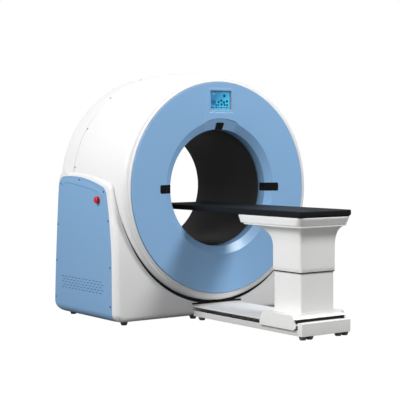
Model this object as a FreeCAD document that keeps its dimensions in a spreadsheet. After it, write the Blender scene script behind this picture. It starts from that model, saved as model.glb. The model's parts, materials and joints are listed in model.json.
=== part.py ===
import FreeCAD, Part
import os
import re
import Sketcher

# Ring gantry on a cradle base, with a short patient table that travels into the bore.
# +Z is up, +Y runs from the table into the gantry, X runs across. Lengths are in millimetres.
# Heights are measured from the floor, and Y from the gantry's front face; every finished piece is
# then moved along Y by the same amount, so that the origin lies under the middle of the machine.

SIZES = {
    # gantry: front face, bore and drum-shaped cover
    "axis_height": 872,
    "face_radius": 705,
    "face_thickness": 8,
    "funnel_radius": 455,
    "funnel_depth": 30,
    "funnel_wall": 3,
    "sleeve_shoulder": 12,
    "brow_radius": 466,
    "brow_angle": 34,
    "brow_drop": 3,
    "bore_radius": 390,
    "bore_wall": 5,
    "sleeve_end": 102,
    "liner_end": 828,
    "lip_width": 17,
    "lip_depth": 12,
    "lip_round": 16,
    "lip_proud": 2,
    "lip_groove": 2.3,
    "lip_flat": 1,
    "lip_foot_inset": 7,
    "shell_wall": 5,
    "shell_lip_step": 2,
    "flange_reach": 8,
    "shoulder_radius": 752,
    "shoulder_depth": 46,
    "shoulder_round": 34,
    "barrel_curve": 3500,
    "barrel_end_radius": 770,
    "barrel_end_depth": 790,
    "rear_round": 60,
    "rear_flare_radius": 450,
    "rear_flare_depth": 20,
    "seam_depth": 626,
    "seam_gap": 1,
    "seam_screw_angle": 10.3,
    "seam_screw_step_angle": 20.6,
    "seam_screw_inset": 12,
    "contact_gap": 0.3,
    "running_gap": 0.05,
    "overrun": 1,
    # display and positioning-light windows
    "display_width": 172,
    "display_height": 128,
    "display_above_axis": 582,
    "display_border": 26,
    "display_sleeve": 4,
    "display_proud": 5,
    "display_recess": 18,
    "display_box_depth": 40,
    "glass_thickness": 3,
    "glass_border": 10,
    "glass_seat": 4,
    "window_width": 56,
    "window_reach": 95,
    "window_proud": 1.5,
    "window_thickness": 8,
    "window_sleeve": 57,
    "top_window_width": 50,
    "top_window_radius": 434,
    "top_window_front": 12.5,
    "laser_box_height": 60,
    "laser_box_width": 50,
    "laser_box_depth": 90,
    "laser_box_inset": 8,
    # cradle base
    "foot_height": 22,
    "base_half_width": 789,
    "base_front": 58,
    "base_straight_top": 420,
    "base_lean_depth": 59,
    "base_lean_top": 885,
    "base_lean_curve": 2440,
    "base_brow_depth": 122,
    "base_brow_height": 926,
    "base_brow_round": 80,
    "base_crown_curve": 1365,
    "base_crown_depth": 662,
    "base_crown_height": 982,
    "base_rear_round": 85,
    "base_shoulder_depth": 748,
    "base_shoulder_height": 900,
    "base_rear_curve": 12000,
    "base_depth": 816,
    "base_heel_round": 78,
    "base_corner": 60,
    "base_edge_round": 35,
    "base_wall": 6,
    "base_hollow_top": 700,
    "cradle_gap": 5,
    "cradle_mouth_radius": 765,
    "cradle_mouth_depth": 7,
    "cradle_throat_radius": 758,
    "panel_thickness": 3,
    "panel_front_border": 54,
    "panel_top_border": 30,
    "panel_edge_border": 4,
    "screw_radius": 4.5,
    "screw_head": 1.2,
    "screw_inset": 14,
    "screw_first_height": 122,
    "screw_second_height": 374,
    "screw_third_height": 622,
    "screw_front_top_height": 672,
    "brow_screw_inset": 19,
    "brow_screw_drop": 68,
    "crown_screw_inset": 205,
    "crown_screw_drop": 52,
    "shoulder_screw_inset": 37,
    "vent_rows": 5,
    "vent_columns": 12,
    "vent_pitch": 46,
    "vent_row_pitch": 18.5,
    "vent_length": 28,
    "vent_height": 5,
    "vent_first_depth": 236,
    "vent_first_height": 195,
    "foot_radius": 24,
    "foot_stem": 9,
    "foot_inset": 90,
    "foot_inset_front": 54,
    "foot_inset_rear": 98,
    "foot_inset_centre": 20,
    "foot_pad": 10,
    "foot_spread": 172,
    "frame_plate": 24,
    # emergency stops
    "stop_depth": 269,
    "stop_height": 804,
    "stop_collar_radius": 24,
    "stop_collar_height": 6,
    "stop_head_radius": 21,
    "stop_head_height": 16,
    "stop_crown_radius": 15,
    "stop_crown_height": 5.6,
    "stop_stem_radius": 11,
    "stop_stroke": 5,
    "stop_clear": 1,
    "stop_stem_length": 26,
    "stop_body_radius": 17,
    "stop_body_length": 34,
    "stop_floor": 10,
    # fixed frame, bearing and ring motor
    "stator_depth": 560,
    "stator_thickness": 36,
    "stator_inner_radius": 520,
    "stator_outer_radius": 700,
    "leg_half_width": 420,
    "leg_width": 120,
    "race_radius": 590,
    "race_width": 40,
    "race_outer_radius": 640,
    "race_inner_radius": 545,
    "race_gap": 0.1,
    "race_side_gap": 2,
    "motor_ring_radius": 662,
    "motor_ring_wall": 12,
    "motor_gap": 2,
    "motor_side_gap": 8,
    "brush_half_height": 45,
    "brush_holder_width": 60,
    "brush_length": 8,
    "brush_height": 10,
    "brush_side_gap": 1,
    # rotor
    "rotor_thickness": 34,
    "rotor_inner_radius": 412,
    "rotor_outer_radius": 690,
    "slip_ring_radius": 505,
    "slip_ring_wall": 28,
    "slip_ring_end": 700,
    "slip_track_width": 9,
    "slip_track_pitch": 18,
    "slip_track_depth": 2,
    "tube_radius": 92,
    "tube_length": 330,
    "tube_orbit": 585,
    "tube_cap": 24,
    "tube_cap_rim": 6,
    "collimator_width": 170,
    "collimator_length": 150,
    "collimator_inner": 416,
    "detector_radius": 560,
    "detector_wall": 40,
    "detector_sweep_angle": 64,
    "detector_depth": 250,
    "detector_count": 16,
    "detector_module": 34,
    "detector_module_width": 34,
    "detector_module_length": 150,
    "detector_module_setback": 10,
    "detector_module_gap": 0.5,
    "generator_width": 300,
    "generator_height": 170,
    "generator_length": 260,
    "generator_orbit": 560,
    "generator_angle": 158,
    "exchanger_width": 220,
    "exchanger_height": 150,
    "exchanger_length": 240,
    "exchanger_angle": 44,
    "exchanger_orbit": 560,
    "processor_width": 210,
    "processor_height": 120,
    "processor_length": 180,
    "processor_angle": 342,
    "processor_orbit": 565,
    "counterweight_angle": 278.46,
    "counterweight_sweep_angle": 22.1,
    "counterweight_gap": 6,
    "counterweight_wall": 80,
    "counterweight_length": 250,
    "cabinet_width": 150,
    "cabinet_length": 420,
    "cabinet_height": 270,
    "cabinet_inset": 30,
    "cabinet_setback": 118,
    # table base
    "table_half_width": 191,
    "end_block_depth": 42,
    "end_gap": 5,
    "pan_wall": 4,
    "pan_height": 37,
    "slot_height": 23,
    "lid_edge": 8,
    "lid_rise": 9,
    "lid_slope": 40,
    "lid_sheet": 4,
    "lid_bend": 3,
    "spine_half_width": 68,
    "spine_wall": 5,
    "rail_offset": 138,
    "rail_width": 23,
    "rail_height": 24,
    "block_width": 56,
    "block_length": 70,
    "block_height": 28,
    "block_spacing": 190,
    "block_clear": 8,
    "seal_height": 11,
    "seal_half_width": 203,
    "seal_thickness": 6,
    "table_foot_inset": 26,
    "table_foot_inset_inner": 78,
    "table_foot_setback": 4,
    "screw_shaft_radius": 8,
    "screw_shaft_offset": 90,
    "screw_shaft_height": 52,
    "nut_radius": 15,
    "nut_length": 60,
    "nut_border": 3,
    "boss_reach": 20,
    "drive_motor_front": 38,
    "drive_motor_length": 90,
    "drive_motor_size": 38,
    # carriage
    "column_depth": 846,
    "saddle_length": 250,
    "arm_thickness": 12,
    "saddle_gap": 4,
    "saddle_rise": 6,
    "saddle_side": 6,
    "saddle_plate": 12,
    "saddle_bevel": 9.8,
    "carriage_half_width": 206,
    "carriage_top": 142,
    "carriage_outer_reach": 163,
    "carriage_inner_reach": 182,
    "carriage_end_bevel": 14,
    "carriage_end_inset": 12,
    "carriage_skirt": 60,
    "carriage_skirt_drop": 27,
    "carriage_skirt_slant": 26,
    "carriage_bevel": 6,
    "carriage_end_slope": 27,
    "carriage_end_drop": 19,
    "carriage_wall": 8,
    "carriage_ledge": 36,
    "plinth_height": 8,
    "plinth_border": 6,
    "plinth_corner": 10,
    # telescoping column
    "column_half_width": 130,
    "column_half_depth": 128,
    "column_corner": 8,
    "column_wall": 5,
    "sleeve_border": 9,
    "sleeve_depth_border": 6.5,
    "sleeve_wall": 4,
    "sleeve_corner": 10,
    "sleeve_foot": 391,
    "sleeve_overlap": 180,
    "flare_start": 526,
    "flare_rim": 662,
    "flare_top": 671,
    "flare_power": 2.4,
    "flare_side": 56,
    "flare_outer": 50,
    "flare_inner": 231,
    "flare_corner": 12,
    "pad_height": 40,
    "pad_width": 60,
    "actuator_radius": 45,
    "actuator_wall": 6,
    "actuator_top": 540,
    "piston_foot": 275,
    "gearbox_width": 150,
    "gearbox_depth": 110,
    "gearbox_height": 60,
    "head_plate": 12,
    # tray and tabletop
    "tray_half_width": 207,
    "tray_foot_half_width": 200,
    "tray_height": 50,
    "tray_outer_reach": 205,
    "tray_outer_foot_reach": 187,
    "tray_inner_reach": 412,
    "tray_inner_foot_reach": 400,
    "tray_corner": 26,
    "tray_wall": 5,
    "gasket_height": 6,
    "gasket_inset": 3,
    "gasket_width": 12,
    "gasket_inner_corner": 16,
    "beam_offset": 120,
    "beam_width": 40,
    "beam_inset": 12,
    "tabletop_half_width": 209,
    "tabletop_thickness": 33,
    "tabletop_inner_end": 500,
    "tabletop_corner": 26,
    "tabletop_round": 6,
}

DERIVED = {
    "table_end": "column_depth + carriage_outer_reach + end_gap + end_block_depth",
    "origin_shift": "(table_end - base_front - base_depth) / 2",
    "lip_radius": "face_radius + lip_width",
    "shell_front": "lip_depth + lip_groove",
    "shell_lip_radius": "lip_radius + shell_lip_step",
    "flange_radius": "face_radius - flange_reach",
    "rear_face": "barrel_end_depth + rear_round",
    "base_rear": "base_front + base_depth",
    "floor_top": "foot_height + base_wall",
    "frame_top": "floor_top + frame_plate",
    "stator_rear": "stator_depth + stator_thickness",
    "race_front": "stator_depth - race_width",
    "rotor_front": "race_front - rotor_thickness",
    "panel_face": "base_half_width + panel_thickness",
    "drum_reach": "barrel_end_radius + rear_round",
    "display_centre": "axis_height + display_above_axis",
    "pan_top": "foot_height + pan_height",
    "lid_foot": "pan_top + slot_height",
    "lid_top": "lid_foot + lid_edge + lid_rise",
    "pan_floor": "foot_height + pan_wall",
    "inner_end": "table_end - end_block_depth",
    "rail_top": "pan_floor + rail_height",
    "block_foot": "pan_floor + block_clear",
    "block_top": "block_foot + block_height",
    "saddle_foot": "lid_top + saddle_rise",
    "saddle_top": "saddle_foot + saddle_plate",
    "saddle_side_inner": "table_half_width + saddle_gap",
    "saddle_side_outer": "saddle_side_inner + saddle_side",
    "column_top": "sleeve_foot + sleeve_overlap",
    "upper_half_width": "column_half_width + sleeve_border",
    "upper_half_depth": "column_half_depth + sleeve_depth_border",
    "tray_outer_end": "column_depth + tray_outer_reach",
    "tray_outer_foot": "column_depth + tray_outer_foot_reach",
    "tray_inner_end": "column_depth - tray_inner_reach",
    "tray_inner_foot": "column_depth - tray_inner_foot_reach",
    "tray_top": "flare_top + tray_height",
    "tabletop_foot": "tray_top + gasket_height",
    "piston_radius": "actuator_radius - actuator_wall",
    "gearbox_top": "saddle_top + gearbox_height",
    "head_foot": "flare_top - head_plate",
}

BEHIND = FreeCAD.Rotation(FreeCAD.Vector(1, 0, 0), -90)    # turns a Z axis to +Y
ACROSS = FreeCAD.Rotation(FreeCAD.Vector(0, 1, 0), 90)     # turns a Z axis to +X
UPRIGHT = FreeCAD.Rotation()
FACING = {"X": ACROSS, "Y": BEHIND, "Z": UPRIGHT}

TOUCHING = 0.01     # two faces or ends nearer than this are in line
SAME_POINT = 1e-6

doc = FreeCAD.newDocument("ct_scanner")
sheet = doc.addObject("Spreadsheet::Sheet", "Sizes")
pieces = []


def fill_sheet():
    """One row per driving dimension: its name beside its value, which carries the alias."""
    for row, (name, size) in enumerate(SIZES.items(), start=1):
        sheet.set(f"A{row}", name)
        sheet.set(f"B{row}", str(size))
        sheet.setAlias(f"B{row}", name)
    doc.recompute()


def expand(text):
    """Writes out the derived names in an expression and points the driving ones at the sheet."""
    def swap(match):
        word = match.group(0)
        if word in DERIVED:
            return f"({expand(DERIVED[word])})"
        return f"Sizes.{word}" if word in SIZES else word
    return re.sub(r"[a-z][a-z_]*[a-z]", swap, text)


def value(text):
    return float(sheet.evalExpression(expand(text)))


def bind(item, prop, text):
    item.setExpression(prop, expand(text))


def place(item, at, rotation=UPRIGHT):
    item.Placement = FreeCAD.Placement(FreeCAD.Vector(), rotation)
    for axis, text in zip("xyz", at):
        bind(item, f"Placement.Base.{axis}", text)
    return item


# ---- simple solids ----------------------------------------------------------------------------

def block(name, low, size):
    """A box from its lowest corner and its three sizes."""
    item = doc.addObject("Part::Box", name)
    for prop, text in zip(("Length", "Width", "Height"), size):
        bind(item, prop, text)
    return place(item, low)


def rod(name, radius, length, start, along="Z"):
    item = doc.addObject("Part::Cylinder", name)
    bind(item, "Radius", radius)
    bind(item, "Height", length)
    return place(item, start, FACING[along])


def cone(name, radius, end_radius, length, start, along="Z"):
    item = doc.addObject("Part::Cone", name)
    bind(item, "Radius1", radius)
    bind(item, "Radius2", end_radius)
    bind(item, "Height", length)
    return place(item, start, FACING[along])


def join(name, *items):
    item = doc.addObject("Part::MultiFuse", name)
    item.Shapes = list(items)
    return item


def meet(name, *items):
    item = doc.addObject("Part::MultiCommon", name)
    item.Shapes = list(items)
    return item


def cut(name, base, *tools):
    item = doc.addObject("Part::Cut", name)
    item.Base = base
    item.Tool = tools[0] if len(tools) == 1 else join(f"{name}_tools", *tools)
    return item


def set_of(name, items):
    item = doc.addObject("Part::Compound", name)
    item.Links = list(items)
    return item


def mirrored(name, source):
    """The same piece on the other side of the machine."""
    item = doc.addObject("Part::Mirroring", name)
    item.Source = source
    item.Normal = (1, 0, 0)
    return item


def both_sides(name, source):
    return set_of(name, [source, mirrored(f"{name}_far", source)])


# ---- sketched solids --------------------------------------------------------------------------

def arc_between(start, end, radius):
    """The shorter arc between two points; a positive radius bulges to the right of the travel."""
    if radius < 0:
        return arc_between(end, start, -radius)
    middle = (start + end) * 0.5
    run = end - start
    side = FreeCAD.Vector(run.y, -run.x, 0).normalize()
    drop = (radius ** 2 - run.Length ** 2 / 4) ** 0.5
    return Part.Arc(start, middle + side * (radius - drop), end)


def sketch_outline(body, name, plane, points, offset="0"):
    """A closed outline on one of the body's own planes. A point is (u, v), or (u, v, radius) where
    the stretch that leaves it is an arc."""
    sketch = body.newObject("Sketcher::SketchObject", name)
    origin_plane = [f for f in body.Origin.OriginFeatures if f.Role == plane]
    sketch.AttachmentSupport = [(origin_plane[0], "")]
    sketch.MapMode = "FlatFace"
    if offset != "0":
        bind(sketch, "AttachmentOffset.Base.z", offset)
    spots = [FreeCAD.Vector(value(p[0]), value(p[1]), 0) for p in points]
    ends = []
    for index, point in enumerate(points):
        start, end = spots[index], spots[(index + 1) % len(spots)]
        if len(point) == 2:
            sketch.addGeometry(Part.LineSegment(start, end))
            ends.append((1, 2))
            continue
        arc = arc_between(start, end, value(point[2]))
        sketch.addGeometry(arc)
        forward = sketch.Geometry[index].StartPoint.distanceToPoint(start) < SAME_POINT
        ends.append((1, 2) if forward else (2, 1))
    for index, point in enumerate(points):
        following = (index + 1) % len(points)
        link = ("Coincident", index, ends[index][1], following, ends[following][0])
        sketch.addConstraint(Sketcher.Constraint(*link))
        for kind, text, number in zip(("DistanceX", "DistanceY"), point, spots[index]):
            tie = Sketcher.Constraint(kind, -1, 1, index, ends[index][0], number)
            bind(sketch, f"Constraints[{sketch.addConstraint(tie)}]", text)
        if len(point) == 3:
            tie = Sketcher.Constraint("Radius", index, abs(value(point[2])))
            bind(sketch, f"Constraints[{sketch.addConstraint(tie)}]", f"abs({point[2]})")
    return sketch


def turned(name, points):
    """A ring turned about the gantry's axis from an outline of (radius, depth)."""
    body = doc.addObject("PartDesign::Body", name)
    sketch = sketch_outline(body, f"{name}_profile", "XY_Plane", points)
    ring = body.newObject("PartDesign::Revolution", f"{name}_turn")
    ring.Profile = sketch
    ring.ReferenceAxis = (sketch, ["V_Axis"])
    ring.Angle = 360
    bind(body, "Placement.Base.z", "axis_height")
    return body


def extruded(name, plane, points, length, offset):
    body = doc.addObject("PartDesign::Body", name)
    sketch = sketch_outline(body, f"{name}_outline", plane, points, offset)
    pad = body.newObject("PartDesign::Pad", f"{name}_pad")
    pad.Profile = sketch
    bind(pad, "Length", length)
    return body


def along_x(name, points, low, high):
    """Outline of (depth, height), carried across from x = low to x = high."""
    return extruded(name, "YZ_Plane", points, f"({high}) - ({low})", low)


def along_y(name, points, low, high):
    """Outline of (across, height), carried back from y = low to y = high."""
    return extruded(name, "XZ_Plane", points, f"({high}) - ({low})", f"-({high})")


def along_z(name, points, low, high):
    """Outline of (across, depth), carried up from z = low to z = high."""
    return extruded(name, "XY_Plane", points, f"({high}) - ({low})", low)


def rounded_box(half, front, back, corner):
    """Plan outline of a box with rounded corners; front and back are depths."""
    return [
        (f"-({half})", f"{front} + {corner}", corner),
        (f"-({half}) + {corner}", front),
        (f"{half} - {corner}", front, corner),
        (half, f"{front} + {corner}"),
        (half, f"{back} - {corner}", corner),
        (f"{half} - {corner}", back),
        (f"-({half}) + {corner}", back, corner),
        (f"-({half})", f"{back} - {corner}"),
    ]


def finish(name, item):
    """Names a sub-part and moves it to the machine's frame."""
    depths = [rule for path, rule in item.ExpressionEngine if path.endswith("Placement.Base.y")]
    own_depth = depths[0] if depths else "0"
    item.Label = name
    item.setExpression("Placement.Base.y", f"{own_depth} + {expand('origin_shift')}")
    pieces.append(item)
    return item


# ---- outlines that several pieces share -------------------------------------------------------

def side_outline(front="0", top="0", rear="0", bottom="0"):
    """The cradle base seen from the side, drawn in by a border on each edge."""
    return [
        (f"base_front + {front}", f"foot_height + {bottom}"),
        (f"base_depth + base_front - base_heel_round - {rear}", f"foot_height + {bottom}",
         "base_heel_round"),
        (f"base_rear - {rear}", f"foot_height + base_heel_round + {bottom}", "base_rear_curve"),
        (f"base_front + base_shoulder_depth - {rear}", f"base_shoulder_height - {top}",
         "base_rear_round"),
        (f"base_front + base_crown_depth - {rear}", f"base_crown_height - {top}",
         "base_crown_curve"),
        (f"base_front + base_brow_depth + {front}", f"base_brow_height - {top}",
         "base_brow_round"),
        (f"base_front + base_lean_depth + {front}", f"base_lean_top - {top}", "base_lean_curve"),
        (f"base_front + {front}", "base_straight_top"),
    ]


def front_outline(half, floor, corner, top="base_crown_height + base_wall"):
    """The cradle base seen from the front: a box with rounded lower corners."""
    return [
        (f"-({half})", f"{floor} + {corner}", corner),
        (f"-({half}) + {corner}", floor),
        (f"{half} - ({corner})", floor, corner),
        (half, f"{floor} + {corner}"),
        (half, top),
        (f"-({half})", top),
    ]


def barrel_solid(name, clearance):
    """The drum's barrel filled in, grown by a clearance and run out before and behind the base."""
    return turned(name, [
        ("0", "0"),
        (f"shoulder_radius + {clearance}", "0"),
        (f"shoulder_radius + {clearance}", "shoulder_depth", "barrel_curve"),
        (f"barrel_end_radius + {clearance}", "barrel_end_depth"),
        (f"barrel_end_radius + {clearance}", "base_rear + base_heel_round"),
        ("0", "base_rear + base_heel_round"),
    ])


def barrel_radius(depth):
    """The barrel's outer radius at a depth between its shoulder and its rear edge."""
    run = "(barrel_end_depth - shoulder_depth)"
    chord = (f"shoulder_radius + (barrel_end_radius - shoulder_radius)"
             f" * ({depth} - shoulder_depth) / {run}")
    rise = f"({depth} - shoulder_depth) * (barrel_end_depth - ({depth})) / (2 * barrel_curve)"
    return f"({chord} + {rise})"


def radial_block(name, angle, inner, height, width, depth, length):
    """A box that stands on the gantry's axis like a spoke, centred on an angle."""
    item = doc.addObject("Part::Box", name)
    for prop, text in zip(("Length", "Width", "Height"), (height, length, width)):
        bind(item, prop, text)
    item.Placement = FreeCAD.Placement(FreeCAD.Vector(), FreeCAD.Rotation(FreeCAD.Vector(0, -1, 0), 1))
    bind(item, "Placement.Rotation.Angle", angle)
    bind(item, "Placement.Base.x", f"({inner}) * cos({angle}) + ({width}) / 2 * sin({angle})")
    bind(item, "Placement.Base.y", depth)
    bind(item, "Placement.Base.z",
         f"axis_height + ({inner}) * sin({angle}) - ({width}) / 2 * cos({angle})")
    return item


def radial_rod(name, angle, radius, inner, length, depth):
    """A round pin that points away from the gantry's axis."""
    item = doc.addObject("Part::Cylinder", name)
    bind(item, "Radius", radius)
    bind(item, "Height", length)
    item.Placement = FreeCAD.Placement(FreeCAD.Vector(), FreeCAD.Rotation(FreeCAD.Vector(0, 1, 0), 1))
    bind(item, "Placement.Rotation.Angle", f"90 - ({angle})")
    bind(item, "Placement.Base.x", f"({inner}) * cos({angle})")
    bind(item, "Placement.Base.y", depth)
    bind(item, "Placement.Base.z", f"axis_height + ({inner}) * sin({angle})")
    return item


def wedge(name, angle, sweep, low, high):
    """A slice seen along the gantry's axis, from the axis to well outside the drum."""
    reach = "2 * base_half_width"
    corners = [("0", "axis_height")]
    for side in ("-", "+"):
        edge = f"(({angle}) {side} ({sweep}) / 2)"
        corners.append((f"{reach} * cos({edge})", f"axis_height + {reach} * sin({edge})"))
    return along_y(name, corners, low, high)


def ring(name, inner, outer, low, high):
    return turned(name, [(inner, low), (outer, low), (outer, high), (inner, high)])


# ---- gantry covers ----------------------------------------------------------------------------

def barrel_shell(name):
    """The drum's whole skin, from the flange behind the lip to the flare at the rear opening."""
    return turned(name, [
        ("flange_radius", "shell_front"),
        ("shell_lip_radius", "shell_front", "shoulder_round"),
        ("shoulder_radius", "shoulder_depth", "barrel_curve"),
        ("barrel_end_radius", "barrel_end_depth", "rear_round"),
        ("barrel_end_radius - rear_round", "rear_face"),
        ("rear_flare_radius", "rear_face"),
        ("bore_radius + bore_wall + contact_gap", "rear_face - rear_flare_depth"),
        ("bore_radius + bore_wall + contact_gap", "rear_face - rear_flare_depth - shell_wall"),
        ("rear_flare_radius", "rear_face - shell_wall"),
        ("barrel_end_radius - rear_round", "rear_face - shell_wall", "-(rear_round - shell_wall)"),
        ("barrel_end_radius - shell_wall", "barrel_end_depth", "-(barrel_curve - shell_wall)"),
        ("shoulder_radius - shell_wall", "shoulder_depth", "-(shoulder_round - shell_wall)"),
        ("shell_lip_radius - shell_wall", "shell_front + shell_wall"),
        ("flange_radius", "shell_front + shell_wall"),
    ])


def seam_screw_angles():
    """Four screws on each side of the drum, spread evenly between its side and its crown."""
    for side in range(4):
        yield f"seam_screw_angle + {side} * seam_screw_step_angle"
        yield f"180 - (seam_screw_angle + {side} * seam_screw_step_angle)"


def seam_screws(name, clearance):
    depth = "(seam_depth - seam_screw_inset)"
    return [radial_rod(f"{name}_{index}", angle, f"screw_radius + {clearance}",
                       f"{barrel_radius(depth)} - shell_wall", f"shell_wall + screw_head", depth)
            for index, angle in enumerate(seam_screw_angles())]


def drum_covers():
    span = "2 * drum_reach"
    low = "axis_height - drum_reach"
    front = block("drum_front_half", ("-drum_reach", "0", low), (span, "seam_depth", span))
    rear = block("drum_rear_half", ("-drum_reach", "seam_depth + seam_gap", low),
                 (span, "rear_face", span))
    leg_edge = "(leg_half_width + base_wall)"
    legs = block("drum_leg_opening", (f"-{leg_edge}", "stator_depth - base_wall", "0"),
                 (f"2 * {leg_edge}", "stator_thickness + 2 * base_wall",
                  f"axis_height - sqrt(barrel_end_radius ^ 2 - {leg_edge} ^ 2) + 2 * base_wall"))
    shell = meet("drum_front_skin", barrel_shell("drum_skin"), front)
    holes = seam_screws("drum_screw_hole", "contact_gap")
    switches = stop_openings("drum_switch_hole")
    finish("drum_shell", cut("drum_shell_cut", shell, legs, switches, *holes))
    finish("rear_cover", meet("rear_cover_skin", barrel_shell("rear_skin"), rear))


def front_covers():
    """The white lip ring and the blue face with its funnel, brow and bore sleeve."""
    finish("lip_ring", turned("lip_ring_body", [
        ("face_radius", "-lip_proud"),
        ("face_radius + lip_flat", "-lip_proud", "lip_round"),
        ("lip_radius", "lip_depth"),
        ("lip_radius - lip_foot_inset", "lip_depth"),
        ("lip_radius - lip_foot_inset", "shell_front"),
        ("flange_radius", "shell_front"),
        ("flange_radius", "face_thickness"),
        ("face_radius", "face_thickness"),
    ]))
    face = turned("face_body", [
        ("bore_radius", "funnel_depth"),
        ("funnel_radius", "0"),
        ("face_radius - contact_gap", "0"),
        ("face_radius - contact_gap", "face_thickness"),
        ("funnel_radius + funnel_wall", "face_thickness"),
        ("bore_radius + 2 * bore_wall", "funnel_depth + funnel_wall"),
        ("bore_radius + bore_wall", "funnel_depth + sleeve_shoulder"),
        ("bore_radius + bore_wall", "sleeve_end"),
        ("bore_radius", "sleeve_end"),
    ])
    brow_ring = turned("brow_ring", [
        ("bore_radius - overrun", "funnel_depth"),
        ("bore_radius - overrun", "-overrun"),
        ("brow_radius", "-overrun"),
        ("brow_radius", "brow_drop"),
        ("bore_radius", "funnel_depth"),
    ])
    slice_ = wedge("brow_slice", "90", "brow_angle", "-2 * overrun", "sleeve_end")
    brow = meet("brow", brow_ring, slice_)
    screen = block("display_opening", (
        "-display_width / 2 - display_sleeve - contact_gap", "-overrun",
        "display_centre - display_height / 2 - display_sleeve - contact_gap"), (
        "display_width + 2 * (display_sleeve + contact_gap)", "face_thickness + 2 * overrun",
        "display_height + 2 * (display_sleeve + contact_gap)"))
    through = ("contact_gap", "2 * window_thickness")
    slots = [both_sides("side_slots", side_window("side_slot", *through)),
             top_window("top_slot", *through)]
    finish("front_face", cut("face_cut", face, brow, screen, *slots))
    finish("bore_liner", ring("liner_body", "bore_radius", "bore_radius + bore_wall",
                              "sleeve_end + contact_gap", "liner_end"))


def side_window(name, clearance="0", depth="window_thickness"):
    """A dark cover strip that runs over the face, down the funnel and into the sleeve."""
    outer = f"bore_radius + window_reach + {clearance}"
    half = f"(window_width / 2 + {clearance})"
    points = [
        (outer, "-window_proud"),
        (outer, depth),
        (f"funnel_radius + {depth} / 2", depth),
        (f"bore_radius + {depth}", f"funnel_depth + {depth} / 2"),
        (f"bore_radius + {depth}", f"funnel_depth + window_sleeve + {clearance}"),
        ("bore_radius - window_proud", f"funnel_depth + window_sleeve + {clearance}"),
        ("bore_radius - window_proud", "funnel_depth"),
        ("funnel_radius - window_proud / 2", "-window_proud"),
    ]
    return along_z(name, points, f"axis_height - {half}", f"axis_height + {half}")


def top_window(name, clearance="0", depth="window_thickness"):
    """The short dark strip at twelve o'clock, inside the brow."""
    outer = f"axis_height + top_window_radius + {clearance}"
    inner = "axis_height + bore_radius"
    half = f"(top_window_width / 2 + {clearance})"
    points = [
        (f"funnel_depth + {depth}", f"{inner} + {depth}"),
        (f"top_window_front + {depth}", outer),
        ("top_window_front", outer),
        ("funnel_depth - window_proud", f"{inner} - window_proud"),
        (f"funnel_depth + {depth}", f"{inner} - window_proud"),
    ]
    return along_x(name, points, f"-{half}", half)


def light_windows():
    window = side_window("window_body")
    finish("window_right", set_of("window_right_body", [window]))
    finish("window_left", mirrored("window_left_body", window))
    finish("window_top", top_window("window_top_body"))
    low = "face_thickness + contact_gap"
    boxes = [radial_block(f"laser_box_{angle}", angle, "funnel_radius + laser_box_inset",
                          "laser_box_width", "laser_box_height", low, "laser_box_depth")
             for angle in ("0", "90", "180")]
    finish("laser_units", set_of("laser_unit_set", boxes))


def display():
    """A proud bezel with a bevelled recess, the glass at its foot and the housing behind."""
    width = "(display_width + 2 * display_border)"
    height = "(display_height + 2 * display_border)"
    sleeve_width = "(display_width + 2 * display_sleeve)"
    sleeve_height = "(display_height + 2 * display_sleeve)"
    glass_width = "(display_width - 2 * glass_border)"
    glass_height = "(display_height - 2 * glass_border)"
    glass_front = "(display_recess - display_proud)"
    plate = block("bezel_plate",
                  (f"-{width} / 2", "-display_proud", f"display_centre - {height} / 2"),
                  (width, "display_proud", height))
    sleeve = block("bezel_sleeve",
                   (f"-{sleeve_width} / 2", "0", f"display_centre - {sleeve_height} / 2"),
                   (sleeve_width, f"{glass_front} + glass_thickness", sleeve_height))
    bevel = doc.addObject("Part::Wedge", "bezel_bevel")
    for prop, text in (
            ("Xmin", "-display_width / 2"), ("Xmax", "display_width / 2"),
            ("Zmin", "-display_height / 2"), ("Zmax", "display_height / 2"),
            ("X2min", f"-{glass_width} / 2"), ("X2max", f"{glass_width} / 2"),
            ("Z2min", f"-{glass_height} / 2"), ("Z2max", f"{glass_height} / 2"),
            ("Ymin", "0"), ("Ymax", "display_recess")):
        bind(bevel, prop, text)
    place(bevel, ("0", "-display_proud", "display_centre"))
    seat = block("glass_pocket", (f"-{glass_width} / 2 - glass_seat", glass_front,
                                  f"display_centre - {glass_height} / 2 - glass_seat"),
                 (f"{glass_width} + 2 * glass_seat", "2 * glass_thickness",
                  f"{glass_height} + 2 * glass_seat"))
    finish("display_bezel", cut("bezel_cut", join("bezel_solid", plate, sleeve), bevel, seat))
    edge = "(glass_seat - contact_gap)"
    finish("display_glass", block(
        "glass_pane", (f"-{glass_width} / 2 - {edge}", glass_front,
                       f"display_centre - {glass_height} / 2 - {edge}"),
        (f"{glass_width} + 2 * {edge}", "glass_thickness", f"{glass_height} + 2 * {edge}")))
    finish("display_housing", block(
        "display_box", (f"-{sleeve_width} / 2", f"{glass_front} + glass_thickness",
                        f"display_centre - {sleeve_height} / 2"),
        (sleeve_width, "display_box_depth", sleeve_height)))


# ---- cradle base ------------------------------------------------------------------------------

def rounded_base_block():
    """The base before it is hollowed, its front, crown and rear edges rounded on both sides."""
    side = along_x("base_side_block", side_outline(), "-base_half_width", "base_half_width")
    front = along_y("base_front_block", front_outline("base_half_width", "foot_height", "base_corner"),
                    "0", "base_rear + base_wall")
    solid = meet("base_square_block", side, front)
    doc.recompute()
    half, size = value("base_half_width"), value("base_edge_round")
    crisp = [number for number, edge in enumerate(solid.Shape.Edges, start=1)
             if edge.BoundBox.XLength < TOUCHING and abs(abs(edge.BoundBox.XMin) - half) < TOUCHING
             and edge.BoundBox.YMin < value("base_front + base_crown_depth")]
    rounded = doc.addObject("Part::Fillet", "base_round_block")
    rounded.Base = solid
    rounded.Edges = [(number, size, size) for number in crisp]
    return rounded


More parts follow.
